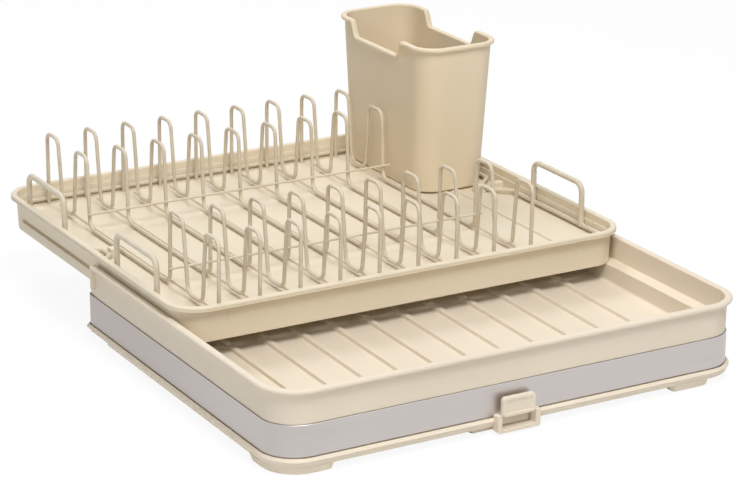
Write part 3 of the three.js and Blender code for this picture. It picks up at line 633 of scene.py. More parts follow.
def coated_wire(paint, light, deep):
    """Satin powder coat on wire: orange peel, thin places in the colour, a light clear gloss."""
    where = paint.place()
    cloud = paint.noise(where, scale=45, detail=3)
    peel = paint.noise(where, scale=750, detail=2)
    return paint.finish(
        Base_Color=paint.blend(paint.spread(cloud, 0.34, 0.68), deep, light),
        Roughness=peel * 0.16 + 0.30,
        Normal=paint.bump(peel, strength=0.12, distance=0.15),
        Coat_Weight=0.12,
        Coat_Roughness=0.25,
    )


def brushed_steel(paint, light, deep):
    """Steel brushed along its length: streaks that are long in u and thin in v, and painted
    shade towards the run's start at the back left, in place of darker reflections there."""
    along = paint.place("UV")
    streak = paint.noise(along, scale=1, detail=4, roughness=0.65, stretch=(9, 2400, 1))
    hair = paint.noise(along, scale=1, detail=2, roughness=0.6, stretch=(40, 6500, 1))
    wash = paint.noise(along, scale=1, detail=2, stretch=(5, 20, 1))
    shade = paint.spread(streak * 0.5 + hair * 0.3 + wash * 0.2, 0.34, 0.66)
    run = paint.node("ShaderNodeSeparateXYZ", {}, {"Vector": along}, "X")
    # Painted shade towards the back left: it stands in for darker reflections there
    painted_shade_share = paint.spread(run, 0.40, 0.12)
    painted_shade_tone = tuple(channel * tint for channel, tint in zip(deep, (0.80, 0.775, 0.76)))
    tone = paint.blend(shade, deep, light)
    return paint.finish(
        Base_Color=paint.blend(painted_shade_share * 0.75, tone, painted_shade_tone),
        Metallic=1.0,
        Roughness=streak * 0.14 + wash * 0.08 + 0.30,
        Normal=paint.bump(streak + hair * 0.5, strength=0.12, distance=0.06),
    )


def pad_rubber(paint, tone):
    """Soft matte rubber with a dusty grain."""
    where = paint.place()
    grain = paint.noise(where, scale=1400, detail=3)
    dust = paint.spread(paint.noise(where, scale=120, detail=3), 0.4, 0.7)
    dark = tuple(channel * 0.82 for channel in tone)
    return paint.finish(
        Base_Color=paint.blend(dust, dark, tone),
        Roughness=grain * 0.1 + 0.78,
        Normal=paint.bump(grain, strength=0.25, distance=0.1),
    )


def ground_finish(paint, tone):
    """White to the camera and in reflections, but for the object's shadow."""
    diffuse = paint.node("ShaderNodeBsdfDiffuse", {}, {"Color": (*tone, 1)}, "BSDF")
    white = {"Color": (1, 1, 1, 1), "Strength": 1.02}
    glow = paint.node("ShaderNodeEmission", {}, white, "Emission")
    share = paint.ray_share() * 0.9
    return paint.end(paint.node("ShaderNodeMixShader", {}, (share, diffuse, glow), "Shader"))


# Each finish: the record's material slot (the ground has none), its maker and its tones
FINISHES = {
    "base cream": ("cream_plastic", moulded_plastic, "cream", "cream_deep"),
    "upper cream": ("cream_plastic", moulded_plastic, "upper", "upper_deep"),
    "holder cream": ("cream_plastic", moulded_plastic, "cup", "cup_deep"),
    "coated wire": ("coated_wire", coated_wire, "wire", "wire_deep"),
    "brushed steel": ("brushed_band", brushed_steel, "steel", "steel_deep"),
    "pad rubber": ("pad_rubber", pad_rubber, "rubber"),
    "ground": ("", ground_finish, "ground"),
}
MATERIALS = {}


def finish_of(name):
    """A finish's slot and its material, which is made once."""
    slot, maker, *tones = FINISHES[name]
    if name not in MATERIALS:
        values = bpy.context.scene.drainer.finishes
        paint = Paint(bpy.data.materials.new(name))
        MATERIALS[name] = maker(paint, *[tuple(getattr(values, tone)) for tone in tones])
    return slot, MATERIALS[name]


# Places shared by several pieces

def band_rect(sizes):
    """The outside of the steel band."""
    front, back = sizes.corner, sizes.rear_corner
    return Rect(BAND_LOW.x, BAND_HIGH.x, BAND_LOW.y, BAND_HIGH.y, [front, front, back, back])


def shares_along(rect, places):
    """Y places as shares of a rectangle's straight side."""
    start, end = rect.y0 + rect.radii[0], rect.y1 - rect.radii[3]
    return [(y - start) / (end - start) for y in places if start < y < end]


def shares_across(rect, places):
    """X places as shares of the rectangle's width."""
    return [(x - rect.x0) / (rect.x1 - rect.x0) for x in places if rect.x0 < x < rect.x1]


RIDGE_LINES = mirrored([2.1, 2.4, 2.6, 2.8, 3.0, 3.2, 3.5])
RIDGE_END_LINES = np.array([0, 0.7, 1.4, 2]) * MM


def ridge_middles(count, pitch):
    return (np.arange(count) - (count - 1) / 2) * pitch


def ridge_rise(x, middles, height):
    """Ridges along Y: full height near a middle, falling smoothly to nothing at their foot."""
    distance = np.min(np.abs(x[..., None] - middles), -1)
    return height * (1 - ramp(distance, RIDGE_TOP, RIDGE_FOOT))


def side_distance(x, y, x0, x1, y0, y1):
    """How far a point is inside a rectangle, negative outside."""
    return np.minimum(np.minimum(x - x0, x1 - x), np.minimum(y - y0, y1 - y))


# Pieces

class BuildBaseTray(Operator):
    """Base tray: sloped ribbed floor, gutter, well, ledges and high walls with a rolled rim"""

    bl_idname = "drainer.base_tray"
    bl_label = "Base tray"

    def execute(self, context):
        sizes = context.scene.drainer.base
        band = band_rect(sizes)
        shapes = [self.basin(sizes, band), self.high_wall(sizes, band), *self.wall_ends(band)]
        made = piece("tray_base", joined(shapes), "base", "base cream", ["base_tray"])
        self.cut_outlet(made, sizes, band)
        return {"FINISHED"}

    def basin(self, sizes, band):
        """Floor height = a slope from front to back + ridges, lowered to the gutter and the well
        over about 1 mm at their sides."""
        wall, ledge, round_in, seam = sizes.wall, sizes.ledge, 2 * MM, 0.4 * MM
        edge = Rect(band.x0 + ledge, band.x1 - ledge, band.y0 + 3.3 * MM, band.y1 - ledge,
                    [sizes.corner - ledge] * 2 + [sizes.rear_corner] * 2)
        floor = edge.inset(round_in + seam)
        gutter_back = edge.y0 + sizes.gutter_width
        gutter = (band.x0 + sizes.gutter_inset, band.x1 - sizes.gutter_inset)
        well = (SPOUT_MIDDLE - sizes.well_left, SPOUT_MIDDLE + sizes.well_right)
        middles = ridge_middles(sizes.ridge_count, sizes.ridge_pitch)
        front, back = gutter_back + 5 * MM, edge.y1 - 5 * MM
        half_step, past_front = 0.6 * MM, 0.1

        def height(x, y, margin=0.0, ridges=1.0):
            share = (y - band.y0) / (edge.y1 - band.y0)
            z = sizes.floor_front + (sizes.floor_back - sizes.floor_front) * share
            ends = between(y, front, back, RIDGE_EASE)
            z = z + ridges * ends * ridge_rise(x, middles, sizes.ridge_height)
            for (x0, x1), level in ((gutter, sizes.gutter_floor), (well, sizes.well_floor)):
                inside = side_distance(x, y, x0 - margin, x1 + margin, band.y0 - past_front,
                                       gutter_back + margin)
                z = z + (level - z) * ramp(inside, -half_step, half_step)
            return z

        def under(x, y):
            return height(x, y, wall, 0.0) - wall

        def below_ledge(x, y):
            """Under the ledge at the sides and the back, and under the floor at the front."""
            low = under(x, y)
            share = ramp(y, edge.y0 + 12 * MM, edge.y0 + 34 * MM)
            return low + (LEDGE_TOP - wall - low) * share

        steps = mirrored([0.2, 0.6, 1.4, 2.4])
        lines = [m + RIDGE_LINES for m in middles] + [w + steps for w in (*gutter, *well)]
        lines.append([gutter[0] - wall, gutter[1] + wall, well[0] - wall, well[1] + wall])
        rows = np.concatenate([
            gutter_back + steps, [gutter_back + wall], front + RIDGE_END_LINES,
            back - RIDGE_END_LINES, np.linspace(floor.y0 + 16 * MM, floor.y1 - 10 * MM, 14)])
        layout = Layout(shares_across(floor, np.concatenate(lines)), shares_along(floor, rows))
        sides = [(edge.inset(seam + inward), lambda x, y, up=up: height(x, y) + up)
                 for inward, up in fillet(round_in)[1:]]
        sides += rings(edge, mm([(0, -0.8), (-0.12, -0.4), (-0.4, -0.1), (-0.8, 0)], z=LEDGE_TOP))
        sides += rings(band, mm([(2.0, 0), (1.58, -0.18), (1.4, -0.6)], z=LEDGE_TOP))
        sides += rings(band, mm([(1.5, 43), (2.1, 40), (2.1, 16), (1.4, 14.6), (1.4, 10.4),
                                 (1.55, 10.05), (1.9, 9.9), (3.0, 9.9), (3.4, 10.3)]))
        inner = Rect(edge.x0 - wall, edge.x1 + wall, band.y0 + 3.7 * MM, edge.y1 + wall,
                     [radius + wall for radius in edge.radii])
        sides += [(band.inset(3.4 * MM), below_ledge), (inner, below_ledge)]
        return shell(layout, (floor, height), sides, (inner.inset(0.5 * MM), under))

    def high_wall(self, sizes, band):
        """The wall over the ledge: its section goes up the outside, round the rolled rim and
        down the inside. It runs round the front and stops before the back."""
        top, roll = BASE_TOP, sizes.rim_height / 2
        under_rim, over_rim = 0.8 * MM, 1.3 * MM  # radii where the rim meets the wall
        section = mm([(1.9, 36), (1.8, 41), (1.5, 41.3), (1.0, 41.8)])
        section += arc((-0.4 * MM, top - 2 * roll - under_rim), under_rim, 0, 1, 3)
        section += arc((roll - sizes.rim_reach, top - roll), roll, 3, 1, 8)
        section += arc((1.4 * MM, top - over_rim), over_rim, 1, 0, 5)
        section += mm([(3.1, 0.6), (3.3, 0.15), (3.7, -0.1)], z=LEDGE_TOP)
        section += mm([(2.9, 46), (2.9, 36)])
        end = band.y1 - WALL_END
        layout = Layout(np.linspace(0, 1, 5), shares_along(band, [end - 5 * MM, end]), 16)
        reach = len(layout.angle) + len(layout.along) - 1
        left = np.arange(layout.count - reach, layout.count)
        right = np.arange(0, layout.columns + reach)
        return carried(layout, rings(band, section)[::-1], np.concatenate([left, right]))

    def wall_ends(self, band):
        """A thin upright lip closes each end of the high wall, and a nub inside it runs in the
        upper tray's groove."""
        end = band.y1 - WALL_END
        made = []
        for side, x in ((1, band.x0), (-1, band.x1)):
            edges = sorted([x - side * 3.9 * MM, x + side * 2.6 * MM])
            lip = Rect(*edges, end - 2.0 * MM, end + 0.2 * MM, 1.0 * MM)
            made.append(block(lip, LEDGE_TOP - 0.6 * MM, BASE_TOP - 0.5 * MM, 0.8 * MM))
            edges = sorted([x + side * 1.5 * MM, x + side * 5.4 * MM])
            nub = Rect(*edges, end - 4.5 * MM, end - 0.5 * MM, 1.2 * MM)
            made.append(block(nub, GROOVE_LOW + GAP, GROOVE_HIGH - GAP, 0.6 * MM))
        return made

    def cut_outlet(self, made, sizes, band):
        """A slot through the front wall from the well to the spout."""
        half, top = 15.6 * MM, 15 * MM  # half its width, and the height of its upper edge
        rect = Rect(SPOUT_MIDDLE - half, SPOUT_MIDDLE + half, band.y0 - 2 * MM, band.y0 + 9 * MM,
                    0.5 * MM)
        cut(made, block(rect, sizes.well_floor + 0.1 * MM, top, 0.4 * MM))


class BuildSteelBand(Operator):
    """Brushed steel band round the front and the sides"""

    bl_idname = "drainer.steel_band"
    bl_label = "Steel band"

    def execute(self, context):
        sizes = context.scene.drainer.base
        band = band_rect(sizes)
        low, high, inside = BAND_LOW.z, BAND_HIGH.z, sizes.band_thickness
        section = mm([(0, 0.2), (0, 6)], 0, low) + mm([(0, -6), (0, -0.2), (0.2, 0)], 0, high)
        section += mm([(-0.2, 0), (0, -0.2)], inside, high) + mm([(0, 0.2), (-0.2, 0)], inside, low)
        section += mm([(0.2, 0)], 0, low)
        end = (sizes.rear_corner + sizes.band_return) / (band.x1 - band.x0)
        layout = Layout([end, 0.25, 0.5, 0.75, 1 - end], [0.2, 0.4, 0.6, 0.8], 16)
        back = layout.columns + layout.rows - 1
        chosen = np.concatenate([
            np.arange(back + layout.columns - 2, layout.count), np.arange(0, back + 1)])
        shape = carried(layout, rings(band, section), chosen)
        ring = layout.ring(band)[chosen]
        run = np.concatenate([[0], np.cumsum(np.linalg.norm(np.diff(ring, axis=0), axis=1))])
        uv = np.stack([np.tile(run, len(section)), shape[0][:, 2]], -1)
        piece("band_steel", shape, "base", "brushed steel", ["steel_band"], uv=uv)
        return {"FINISHED"}


class BuildBottomFrame(Operator):
    """Bottom frame with a bevelled skirt, four feet and their rubber pads"""

    bl_idname = "drainer.bottom_frame"
    bl_label = "Bottom frame and pads"

    def execute(self, context):
        base, sizes = context.scene.drainer.base, context.scene.drainer.frame
        band = band_rect(base)
        shapes = [self.skirt(base, sizes, band), *self.feet(band)]
        piece("frame_bottom", joined(shapes), "base", "base cream", ["bottom_frame"])
        for number in range(1, 5):
            node = f"foot_pad_{number}"
            low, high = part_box(node)
            rect = Rect(low.x, high.x, low.y, high.y, 5 * MM)
            shape = block(rect, low.z, high.z, 0.4 * MM)
            piece(f"pad_rubber_{number}", shape, "base", "pad rubber", [node])
        return {"FINISHED"}

    def skirt(self, base, sizes, band):
        """The skirt's section, with an underside that is higher round the back. The flange
        under the tray makes room for the well."""
        low, flange_top, top = 6.8 * MM, 9.6 * MM, BAND_LOW.z - GAP
        room = base.wall + GAP
        well = (SPOUT_MIDDLE - base.well_left - room, SPOUT_MIDDLE + base.well_right + room)
        turn_y = band.y1 - sizes.shallow

        def lower(amount, rise=sizes.step - low):
            """A height that goes up by the rise where the skirt turns shallow."""
            return lambda x, y: amount + rise * ramp(y, turn_y - 1 * MM, turn_y + 1 * MM)

        section = [(sizes.flange, low), (1.6 * MM, low),
                   (0, lower(low, sizes.step - sizes.bevel - low))]
        section += [(inward, lower(z))
                    for inward, z in mm([(2.9, 0), (2.5, 0.2), (2.2, 0.7)], -sizes.reach, low)]
        section += mm([(0.1, -0.5), (0, -0.2), (0.15, 0.1)], -sizes.reach, top - sizes.bevel)
        section += mm([(-0.9, -0.3), (-0.6, -0.5), (-0.5, -2), (1, -2)], z=top)
        section += [(1 * MM, flange_top), (sizes.flange, flange_top)]
        start, width = band.x0 + base.corner, band.x1 - band.x0 - 2 * base.corner
        places = [SPOUT_LOW.x - GAP, SPOUT_HIGH.x + GAP, well[0] - 0.2 * MM, *well,
                  well[1] + 0.2 * MM]
        across = [(x - start) / width for x in places]
        rows = [turn_y + step * MM for step in (-1, -0.5, 0, 0.5, 1)] + [band.y0 + 120 * MM]
        layout = Layout(across, shares_along(band, rows), 16)
        left, right = [int(np.argmin(np.abs(layout.across - share))) for share in across[:2]]
        chosen = np.concatenate([np.arange(right, layout.count), np.arange(0, left + 1)])
        points, faces = carried(layout, rings(band, section)[::-1], chosen)
        # The flange is drawn back to the band where the well stands
        x, y = points[:, 0], points[:, 1]
        drawn = band.y0 + 0.9 * MM
        deep = (x > well[0] - 0.1 * MM) & (x < well[1] + 0.1 * MM) & (y < band.y0 + 25 * MM)
        y[deep & (y > drawn)] = drawn
        return points, faces

    def feet(self, band):
        """Two front feet along the skirt's edge, the left one round the corner, and two rear
        feet further in. Each leans in towards the ground. A row gives x and y in millimetres
        from the side and the front or back of the band, the radii and the height."""
        places = [
            (band.x0, -1.4, 50, band.y0, -1.4, 50, [32, 6, 6, 6], 7.3),
            (band.x1, -68, -26, band.y0, -1.4, 50, [6, 12, 6, 6], 7.3),
            (band.x0, 12, 46, band.y1, -68, -28, [8] * 4, 9.4),
            (band.x1, -46, -12, band.y1, -68, -28, [8] * 4, 9.4),
        ]
        low = 0.6 * MM
        made = []
        for x, x0, x1, y, y0, y1, radii, high in places:
            rect = Rect(x + x0 * MM, x + x1 * MM, y + y0 * MM, y + y1 * MM,
                        [radius * MM for radius in radii])
            sides = rings(rect, mm([(0.3, 6.0), (2.0, 1.2), (2.4, 0.5), (3.2, 0.1)], z=low))
            made.append(shell(Layout(), (rect, high * MM), sides, (rect.inset(4 * MM), low)))
        return made


class BuildSpout(Operator):
    """Drain spout and the sliding gate in front of it"""

    bl_idname = "drainer.spout"
    bl_label = "Spout and gate"

    def execute(self, context):
        sizes = context.scene.drainer.frame
        mouth = self.channel(sizes, SPOUT_LOW.y, BAND_LOW.y - GAP, SPOUT_HIGH.z)
        neck = self.channel(sizes, BAND_LOW.y - 0.7 * MM, SPOUT_HIGH.y, 14.8 * MM)
        spout = piece("spout_channel", joined([mouth, neck]), "base", "base cream",
                      ["drain_spout"], sharp=30)
        soften(spout, 0.45 * MM)
        tongues = Rect(GATE_LOW.x, GATE_HIGH.x, GATE_HIGH.y - 1.4 * MM, GATE_HIGH.y - 0.3 * MM,
                       0.4 * MM, least=0.1 * MM)
        tongues = block(tongues, GATE_LOW.z + 0.2 * MM, GATE_LOW.z + 1.9 * MM, 0.3 * MM)
        piece("gate_plate", joined([self.plate(), tongues]), "gate", "base cream",
              ["drain_gate"])
        return {"FINISHED"}

    def channel(self, sizes, front, back, top):
        """A U section with rounded lower corners, drawn out from front to back."""
        x0, x1, z0 = SPOUT_LOW.x, SPOUT_HIGH.x, SPOUT_LOW.z
        wall, outer, inner = sizes.spout_wall, 2.2 * MM, 0.8 * MM
        floor = sizes.spout_floor + inner
        section = [(x0, top)] + arc((x0 + outer, z0 + outer), outer, 2, 3, 6)
        section += arc((x1 - outer, z0 + outer), outer, 3, 4, 6) + [(x1, top), (x1 - wall, top)]
        section += arc((x1 - wall - inner, floor), inner, 4, 3, 3)
        section += arc((x0 + wall + inner, floor), inner, 3, 2, 3) + [(x0 + wall, top)]
        flat = np.array(section)
        count = len(flat)
        points = np.concatenate([
            np.stack([flat[:, 0], np.full(count, y), flat[:, 1]], -1) for y in (front, back)])
        index = np.arange(count)
        faces = np.stack([index, index + count, np.roll(index, -1) + count, np.roll(index, -1)], -1)
        return points, faces.tolist() + [index.tolist(), (index[::-1] + count).tolist()]

    def plate(self):
        """The gate's plate, drawn lying down and stood up: a rounded outline with soft edges
        round a shallow panel."""
        tongue = 1.3 * MM
        rect = Rect(GATE_LOW.x + tongue, GATE_HIGH.x - tongue, GATE_LOW.z, GATE_HIGH.z, 3.2 * MM)
        depth = GATE_LOW.y - GATE_HIGH.y
        sides = rings(rect, mm([(3.3, -0.7), (3.15, -0.35), (2.9, -0.05), (2.6, 0), (1.3, 0),
                                (0.7, -0.12), (0.25, -0.45), (0, -1.0)]))
        sides += rings(rect, mm([(0, 0.4), (0.1, 0.1)], z=depth))
        points, faces = shell(Layout(), (rect.inset(3.4 * MM), -0.8 * MM), sides,
                              (rect.inset(0.5 * MM), depth))
        return np.stack([points[:, 0], GATE_LOW.y - points[:, 2], points[:, 1]], -1), faces


class BuildSlideTray(Operator):
    """Upper tray: ribbed floor, drain slots, rolled rim and the groove in each side"""

    bl_idname = "drainer.slide_tray"
    bl_label = "Upper tray"

    def execute(self, context):
        sizes = context.scene.drainer.tray
        rim = Rect(TRAY_LOW.x, TRAY_HIGH.x, TRAY_LOW.y, TRAY_HIGH.y, sizes.corner)
        shapes = [self.tray(sizes, rim), *self.marks(sizes, rim)]
        made = piece("tray_upper", joined(shapes), "tray", "upper cream", ["slide_tray"])
        pitch = (BAND_HIGH.x - BAND_LOW.x - 2 * sizes.corner) / sizes.slot_count
        front, half = rim.y0 + sizes.rim_width + 6.5 * MM, sizes.slot_length / 2
        slots = [Rect(x - half, x + half, front, front + sizes.slot_width, 1.7 * MM)
                 for x in ridge_middles(sizes.slot_count, pitch)]
        cut(made, joined([
            block(slot, TRAY_FLOOR - 4 * MM, TRAY_FLOOR + 3 * MM, 0.5 * MM) for slot in slots]))
        return {"FINISHED"}

    def tray(self, sizes, rim):
        """Floor with ridges, a fillet up to the leaning wall, the rolled rim, the outside with
        its grooves and the skirt below the floor."""
        top, roll, round_in = TRAY_HIGH.z, sizes.roll, 2.5 * MM
        head = top - sizes.rim_height
        lean = sizes.draft / (head - TRAY_LOW.z)
        wall_foot = sizes.rim_width + lean * (head - TRAY_FLOOR)
        first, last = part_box(PLATE_WIRES[0])[0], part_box(PLATE_WIRES[-1])[0]
        middles = ridge_middles(sizes.ridge_count, (last.x - first.x) / (len(PLATE_WIRES) - 1))
        floor = rim.inset(wall_foot + round_in)
        front, back = rim.y0 + wall_foot + 14 * MM, rim.y1 - wall_foot - 14 * MM
        groove_front = BAND_HIGH.y - WALL_END - 5.5 * MM
        groove_back = groove_front + sizes.groove_length
        held_from, ease = HOLDER_LOW.y - 1 * MM, 0.5 * MM

        def height(x, y):
            held = (x > HOLDER_LOW.x - 3 * MM) & (y > held_from)
            rise = np.where(held, sizes.low_ridge, sizes.ridge_height)
            return TRAY_FLOOR + between(y, front, back, RIDGE_EASE) * ridge_rise(x, middles, rise)

        def groove(points):
            """The groove's depth towards the middle between its two ends."""
            share = between(points[:, 1], groove_front - ease, groove_back + ease, 2 * ease)
            return -np.sign(points[:, 0]) * sizes.groove * share

        rows = np.concatenate([
            front + RIDGE_END_LINES, back - RIDGE_END_LINES, groove_front + mirrored([0.2, 0.5]),
            groove_back + mirrored([0.2, 0.5]), held_from + mirrored([0.3]),
            np.linspace(front + 5 * MM, back - 5 * MM, 14)])
        lines = np.concatenate([m + RIDGE_LINES for m in middles])
        layout = Layout(shares_across(floor, lines), shares_along(floor, rows), 14)
        step, inner = top - 7.6 * MM, sizes.rim_width - sizes.shoulder
        brow = 1.4 * MM  # radius of the rim's inner edge
        section = [(wall_foot + inward, TRAY_FLOOR + up) for inward, up in fillet(round_in)[1:]]
        section += [(sizes.rim_width + lean * (head - step), step)]
        section += mm([(0.1, 0.3), (0, 0.6)], inner, step)
        section += arc((inner - brow, top - brow), brow, 0, 1, 5)
        section += arc((roll, top - roll), roll, 1, 2, 6)
        section += mm([(0, -2.0), (0.35, -2.2), (0.35, -2.45), (0.05, -2.65)], z=top)
        section += mm([(0, 0.3), (0.3, 0)], z=head)
        section += mm([(-0.8, 0), (-0.2, -0.2)], sizes.overhang, head)
        sides = rings(rim, section)
        sharp = 0.05 * MM
        for z, grooved in [(head - 0.8 * MM, False), (66.5 * MM, False),
                           (GROOVE_HIGH + sharp, False), (GROOVE_HIGH - sharp, True),
                           (GROOVE_LOW + sharp, True), (GROOVE_LOW - sharp, False),
                           (TRAY_LOW.z + 0.6 * MM, False)]:
            ring = (rim.inset(sizes.overhang + lean * (head - z)), z)
            sides.append((*ring, groove) if grooved else ring)
        foot, under = sizes.overhang + sizes.draft, TRAY_FLOOR - sizes.floor
        sides += rings(rim, mm([(0.15, 0.2), (0.5, 0), (3.2, 0), (3.6, 0.3)], foot, TRAY_LOW.z))
        sides += rings(rim, mm([(0, -0.6), (0.15, -0.2)], foot + sizes.skirt, under))
        return shell(layout, (floor, height), sides,
                     (rim.inset(foot + sizes.skirt + 0.6 * MM), under))

    def marks(self, sizes, rim):
        """Small upright ribs on the front, near its two ends."""
        top, front = TRAY_HIGH.z - 6.2 * MM, rim.y0 + sizes.overhang
        ribs = [Rect(x - 0.5 * MM, x + 0.5 * MM, front - 0.25 * MM, front + 1.4 * MM,
                     0.3 * MM, least=0.05 * MM)
                for x in (BAND_LOW.x + 44.3 * MM, BAND_HIGH.x - 44.3 * MM)]
        return [block(rib, top - sizes.mark, top, 0.2 * MM) for rib in ribs]


class BuildCatches(Operator):
    """The catch at each side that holds the rack in the upper tray"""

    bl_idname = "drainer.catches"
    bl_label = "Rack catches"

    def execute(self, context):
        for side, name in ((1, "left"), (-1, "right")):
            low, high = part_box(f"rack_catch_{name}")
            outer, reach = (low.x if side > 0 else high.x), high.x - low.x
            # The bar under the frame wire, the boss at its inner end and the one by the wall
            parts = [(0.2 * MM, reach - 0.2 * MM, low.z + 1.1 * MM, 0.4 * MM),
                     (reach - 9.5 * MM, reach, high.z, 1.2 * MM),
                     (0, 11 * MM, high.z - 1 * MM, 1.2 * MM)]
            shapes = []
            for start, end, top, soft in parts:
                edges = sorted([outer + side * start, outer + side * end])
                shapes.append(block(Rect(*edges, low.y, high.y, 1.6 * MM), low.z, top, soft))
            piece(f"catch_{name}", joined(shapes), "tray", "upper cream", [f"rack_catch_{name}"])
        return {"FINISHED"}


class BuildRack(Operator):
    """Wire rack: frame wire with its jogs, nine plate wires, two cross wires, four handles"""

    bl_idname = "drainer.rack"
    bl_label = "Wire rack"

    ALONG_X, UPWARD = (1.0, 0.0, 0.0), (0.0, 0.0, 1.0)

    def execute(self, context):
        sizes = context.scene.drainer.rack
        half = sizes.frame_wire / 2
        self.left, self.right = SIDE_WIRE_LOW.x + half, -SIDE_WIRE_LOW.x - half
        self.front, self.back = FRONT_WIRE_LOW.y + half, BACK_WIRE_HIGH.y - half
        self.level = (SIDE_WIRE_LOW.z + SIDE_WIRE_HIGH.z) / 2
        self.frame_loop(sizes, context.scene.drainer.tray.corner)
        self.plate_wires(sizes)
        self.cross_wires(sizes)
        self.handles(sizes)
        return {"FINISHED"}

    def wire(self, name, shapes, nodes):
        piece(name, joined(shapes), "rack", "coated wire", nodes, sharp=60)

    def frame_loop(self, sizes, rim_corner):
        """One closed wire: a rounded rectangle with a jog inward round each catch. The right
        half is the left half turned over."""
        corner = rim_corner - (self.front - TRAY_LOW.y)
        middle = (CATCH_LOW.y + CATCH_HIGH.y) / 2
        start, end = middle - sizes.jog_length / 2, middle + sizes.jog_length / 2
        depth, bend = sizes.jog_depth, sizes.jog_radius
        half = [(0, self.front, corner), (0, start, bend), (depth, start + depth, bend),
                (depth, end - depth, bend), (0, end, bend), (0, self.back, corner)]
        corners = [((self.left, self.front, self.level), corner)]
        corners += [((self.right - inward, y, self.level), radius) for inward, y, radius in half]
        corners += [((self.left + inward, y, self.level), radius)
                    for inward, y, radius in half[:0:-1]]
        line, ways = bent(corners, closed=True, steps=12)
        shape = tube(line, ways, self.UPWARD, sizes.frame_wire / 2, 18, closed=True)
        nodes = [f"rack_frame_{side}" for side in ("front", "back", "left", "right")]
        self.wire("rack_frame_loop", [shape], nodes)

    def leg_places(self, sizes):
        """Y places of the bends of a plate wire, from the back leg to the front leg."""
        offset = sizes.frame_wire / 2 + GAP + sizes.plate_wire / 2
        back, front = self.back - offset, self.front + offset
        top, lean, run = sizes.loop_top, sizes.leg_lean, 2.6 * MM
        first = back - 1.0 * MM
        first_foot = first - top - lean
        second_foot = first_foot - sizes.back_valley
        second = second_foot - lean
        last = front - 2.4 * MM
        last_foot = last + top + lean
        third_foot = last_foot + sizes.front_valley
        third = third_foot + lean
        return [back, first, first - top, first_foot, second_foot, second, second - top,
                second - top - run, third + top + run, third + top, third, third_foot,
                last_foot, last + top, last, front]

    def plate_wires(self, sizes):
        """Four upright loops in a row: tall bends at the top, low bends between the loops."""
        top, valley = sizes.loop_radius, sizes.valley_radius
        low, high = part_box(PLATE_WIRES[0])
        peak = high.z - sizes.plate_wire / 2
        dip, run = TRAY_FLOOR + 4.4 * MM, TRAY_FLOOR + 3.0 * MM
        half = [(low.z, 0), (peak, top), (peak, top), (dip, valley), (dip, valley), (peak, top),
                (peak, top), (run, valley)]
        places = self.leg_places(sizes)
        for number, node in enumerate(PLATE_WIRES, 1):
            low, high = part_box(node)
            x = (low.x + high.x) / 2
            corners = [((x, y, z), bend) for y, (z, bend) in zip(places, half + half[::-1])]
            line, ways = bent(corners, steps=10)
            shapes = [tube(line, ways, self.ALONG_X, sizes.plate_wire / 2)]
            for y, side in ((places[0], 1), (places[-1], -1)):
                shapes.append(bead((x, y + side * 1.65 * MM, self.level), (1.3, 1.0, 1.5)))
            self.wire(f"plate_loops_{number}", shapes, [node])

    def cross_wires(self, sizes):
        """A straight thin wire through each inner row, welded to every plate wire."""
        for name in ("back", "front"):
            node = f"cross_wire_{name}"
            low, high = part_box(node)
            y, z = (low.y + high.y) / 2, (low.z + high.z) / 2
            line, ways = bent([((low.x, y, z), 0), ((high.x, y, z), 0)])
            shapes = [tube(line, ways, self.UPWARD, sizes.cross_wire / 2, 12)]
            for plate_wire in PLATE_WIRES:
                wire_low, wire_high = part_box(plate_wire)
                weld = ((wire_low.x + wire_high.x) / 2, y + sizes.cross_wire / 2 + 0.1 * MM, z)
                shapes.append(bead(weld, (1.1, 0.8, 1.1)))
            self.wire(f"cross_rod_{name}", shapes, [node])

    def handles(self, sizes):
        """Four upright loops welded on top of the frame wire."""
        half, bend = sizes.handle_wire / 2, sizes.handle_radius
        for end in ("back_left", "back_right", "front_left", "front_right"):
            low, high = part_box(f"handle_{end}")
            x = (low.x + high.x) / 2
            y0, y1, top, foot = low.y + half, high.y - half, high.z - half, self.level + 0.6 * MM
            line, ways = bent([((x, y0, foot), 0), ((x, y0, top), bend), ((x, y1, top), bend),
                               ((x, y1, foot), 0)], steps=12)
            shapes = [tube(line, ways, self.ALONG_X, half, 18)]
            shapes += [bead((x, y, self.level + 1.7 * MM), (2.6, 3.3, 1.2)) for y in (y0, y1)]
            self.wire(f"handle_loop_{end}", shapes, [f"handle_{end}"])


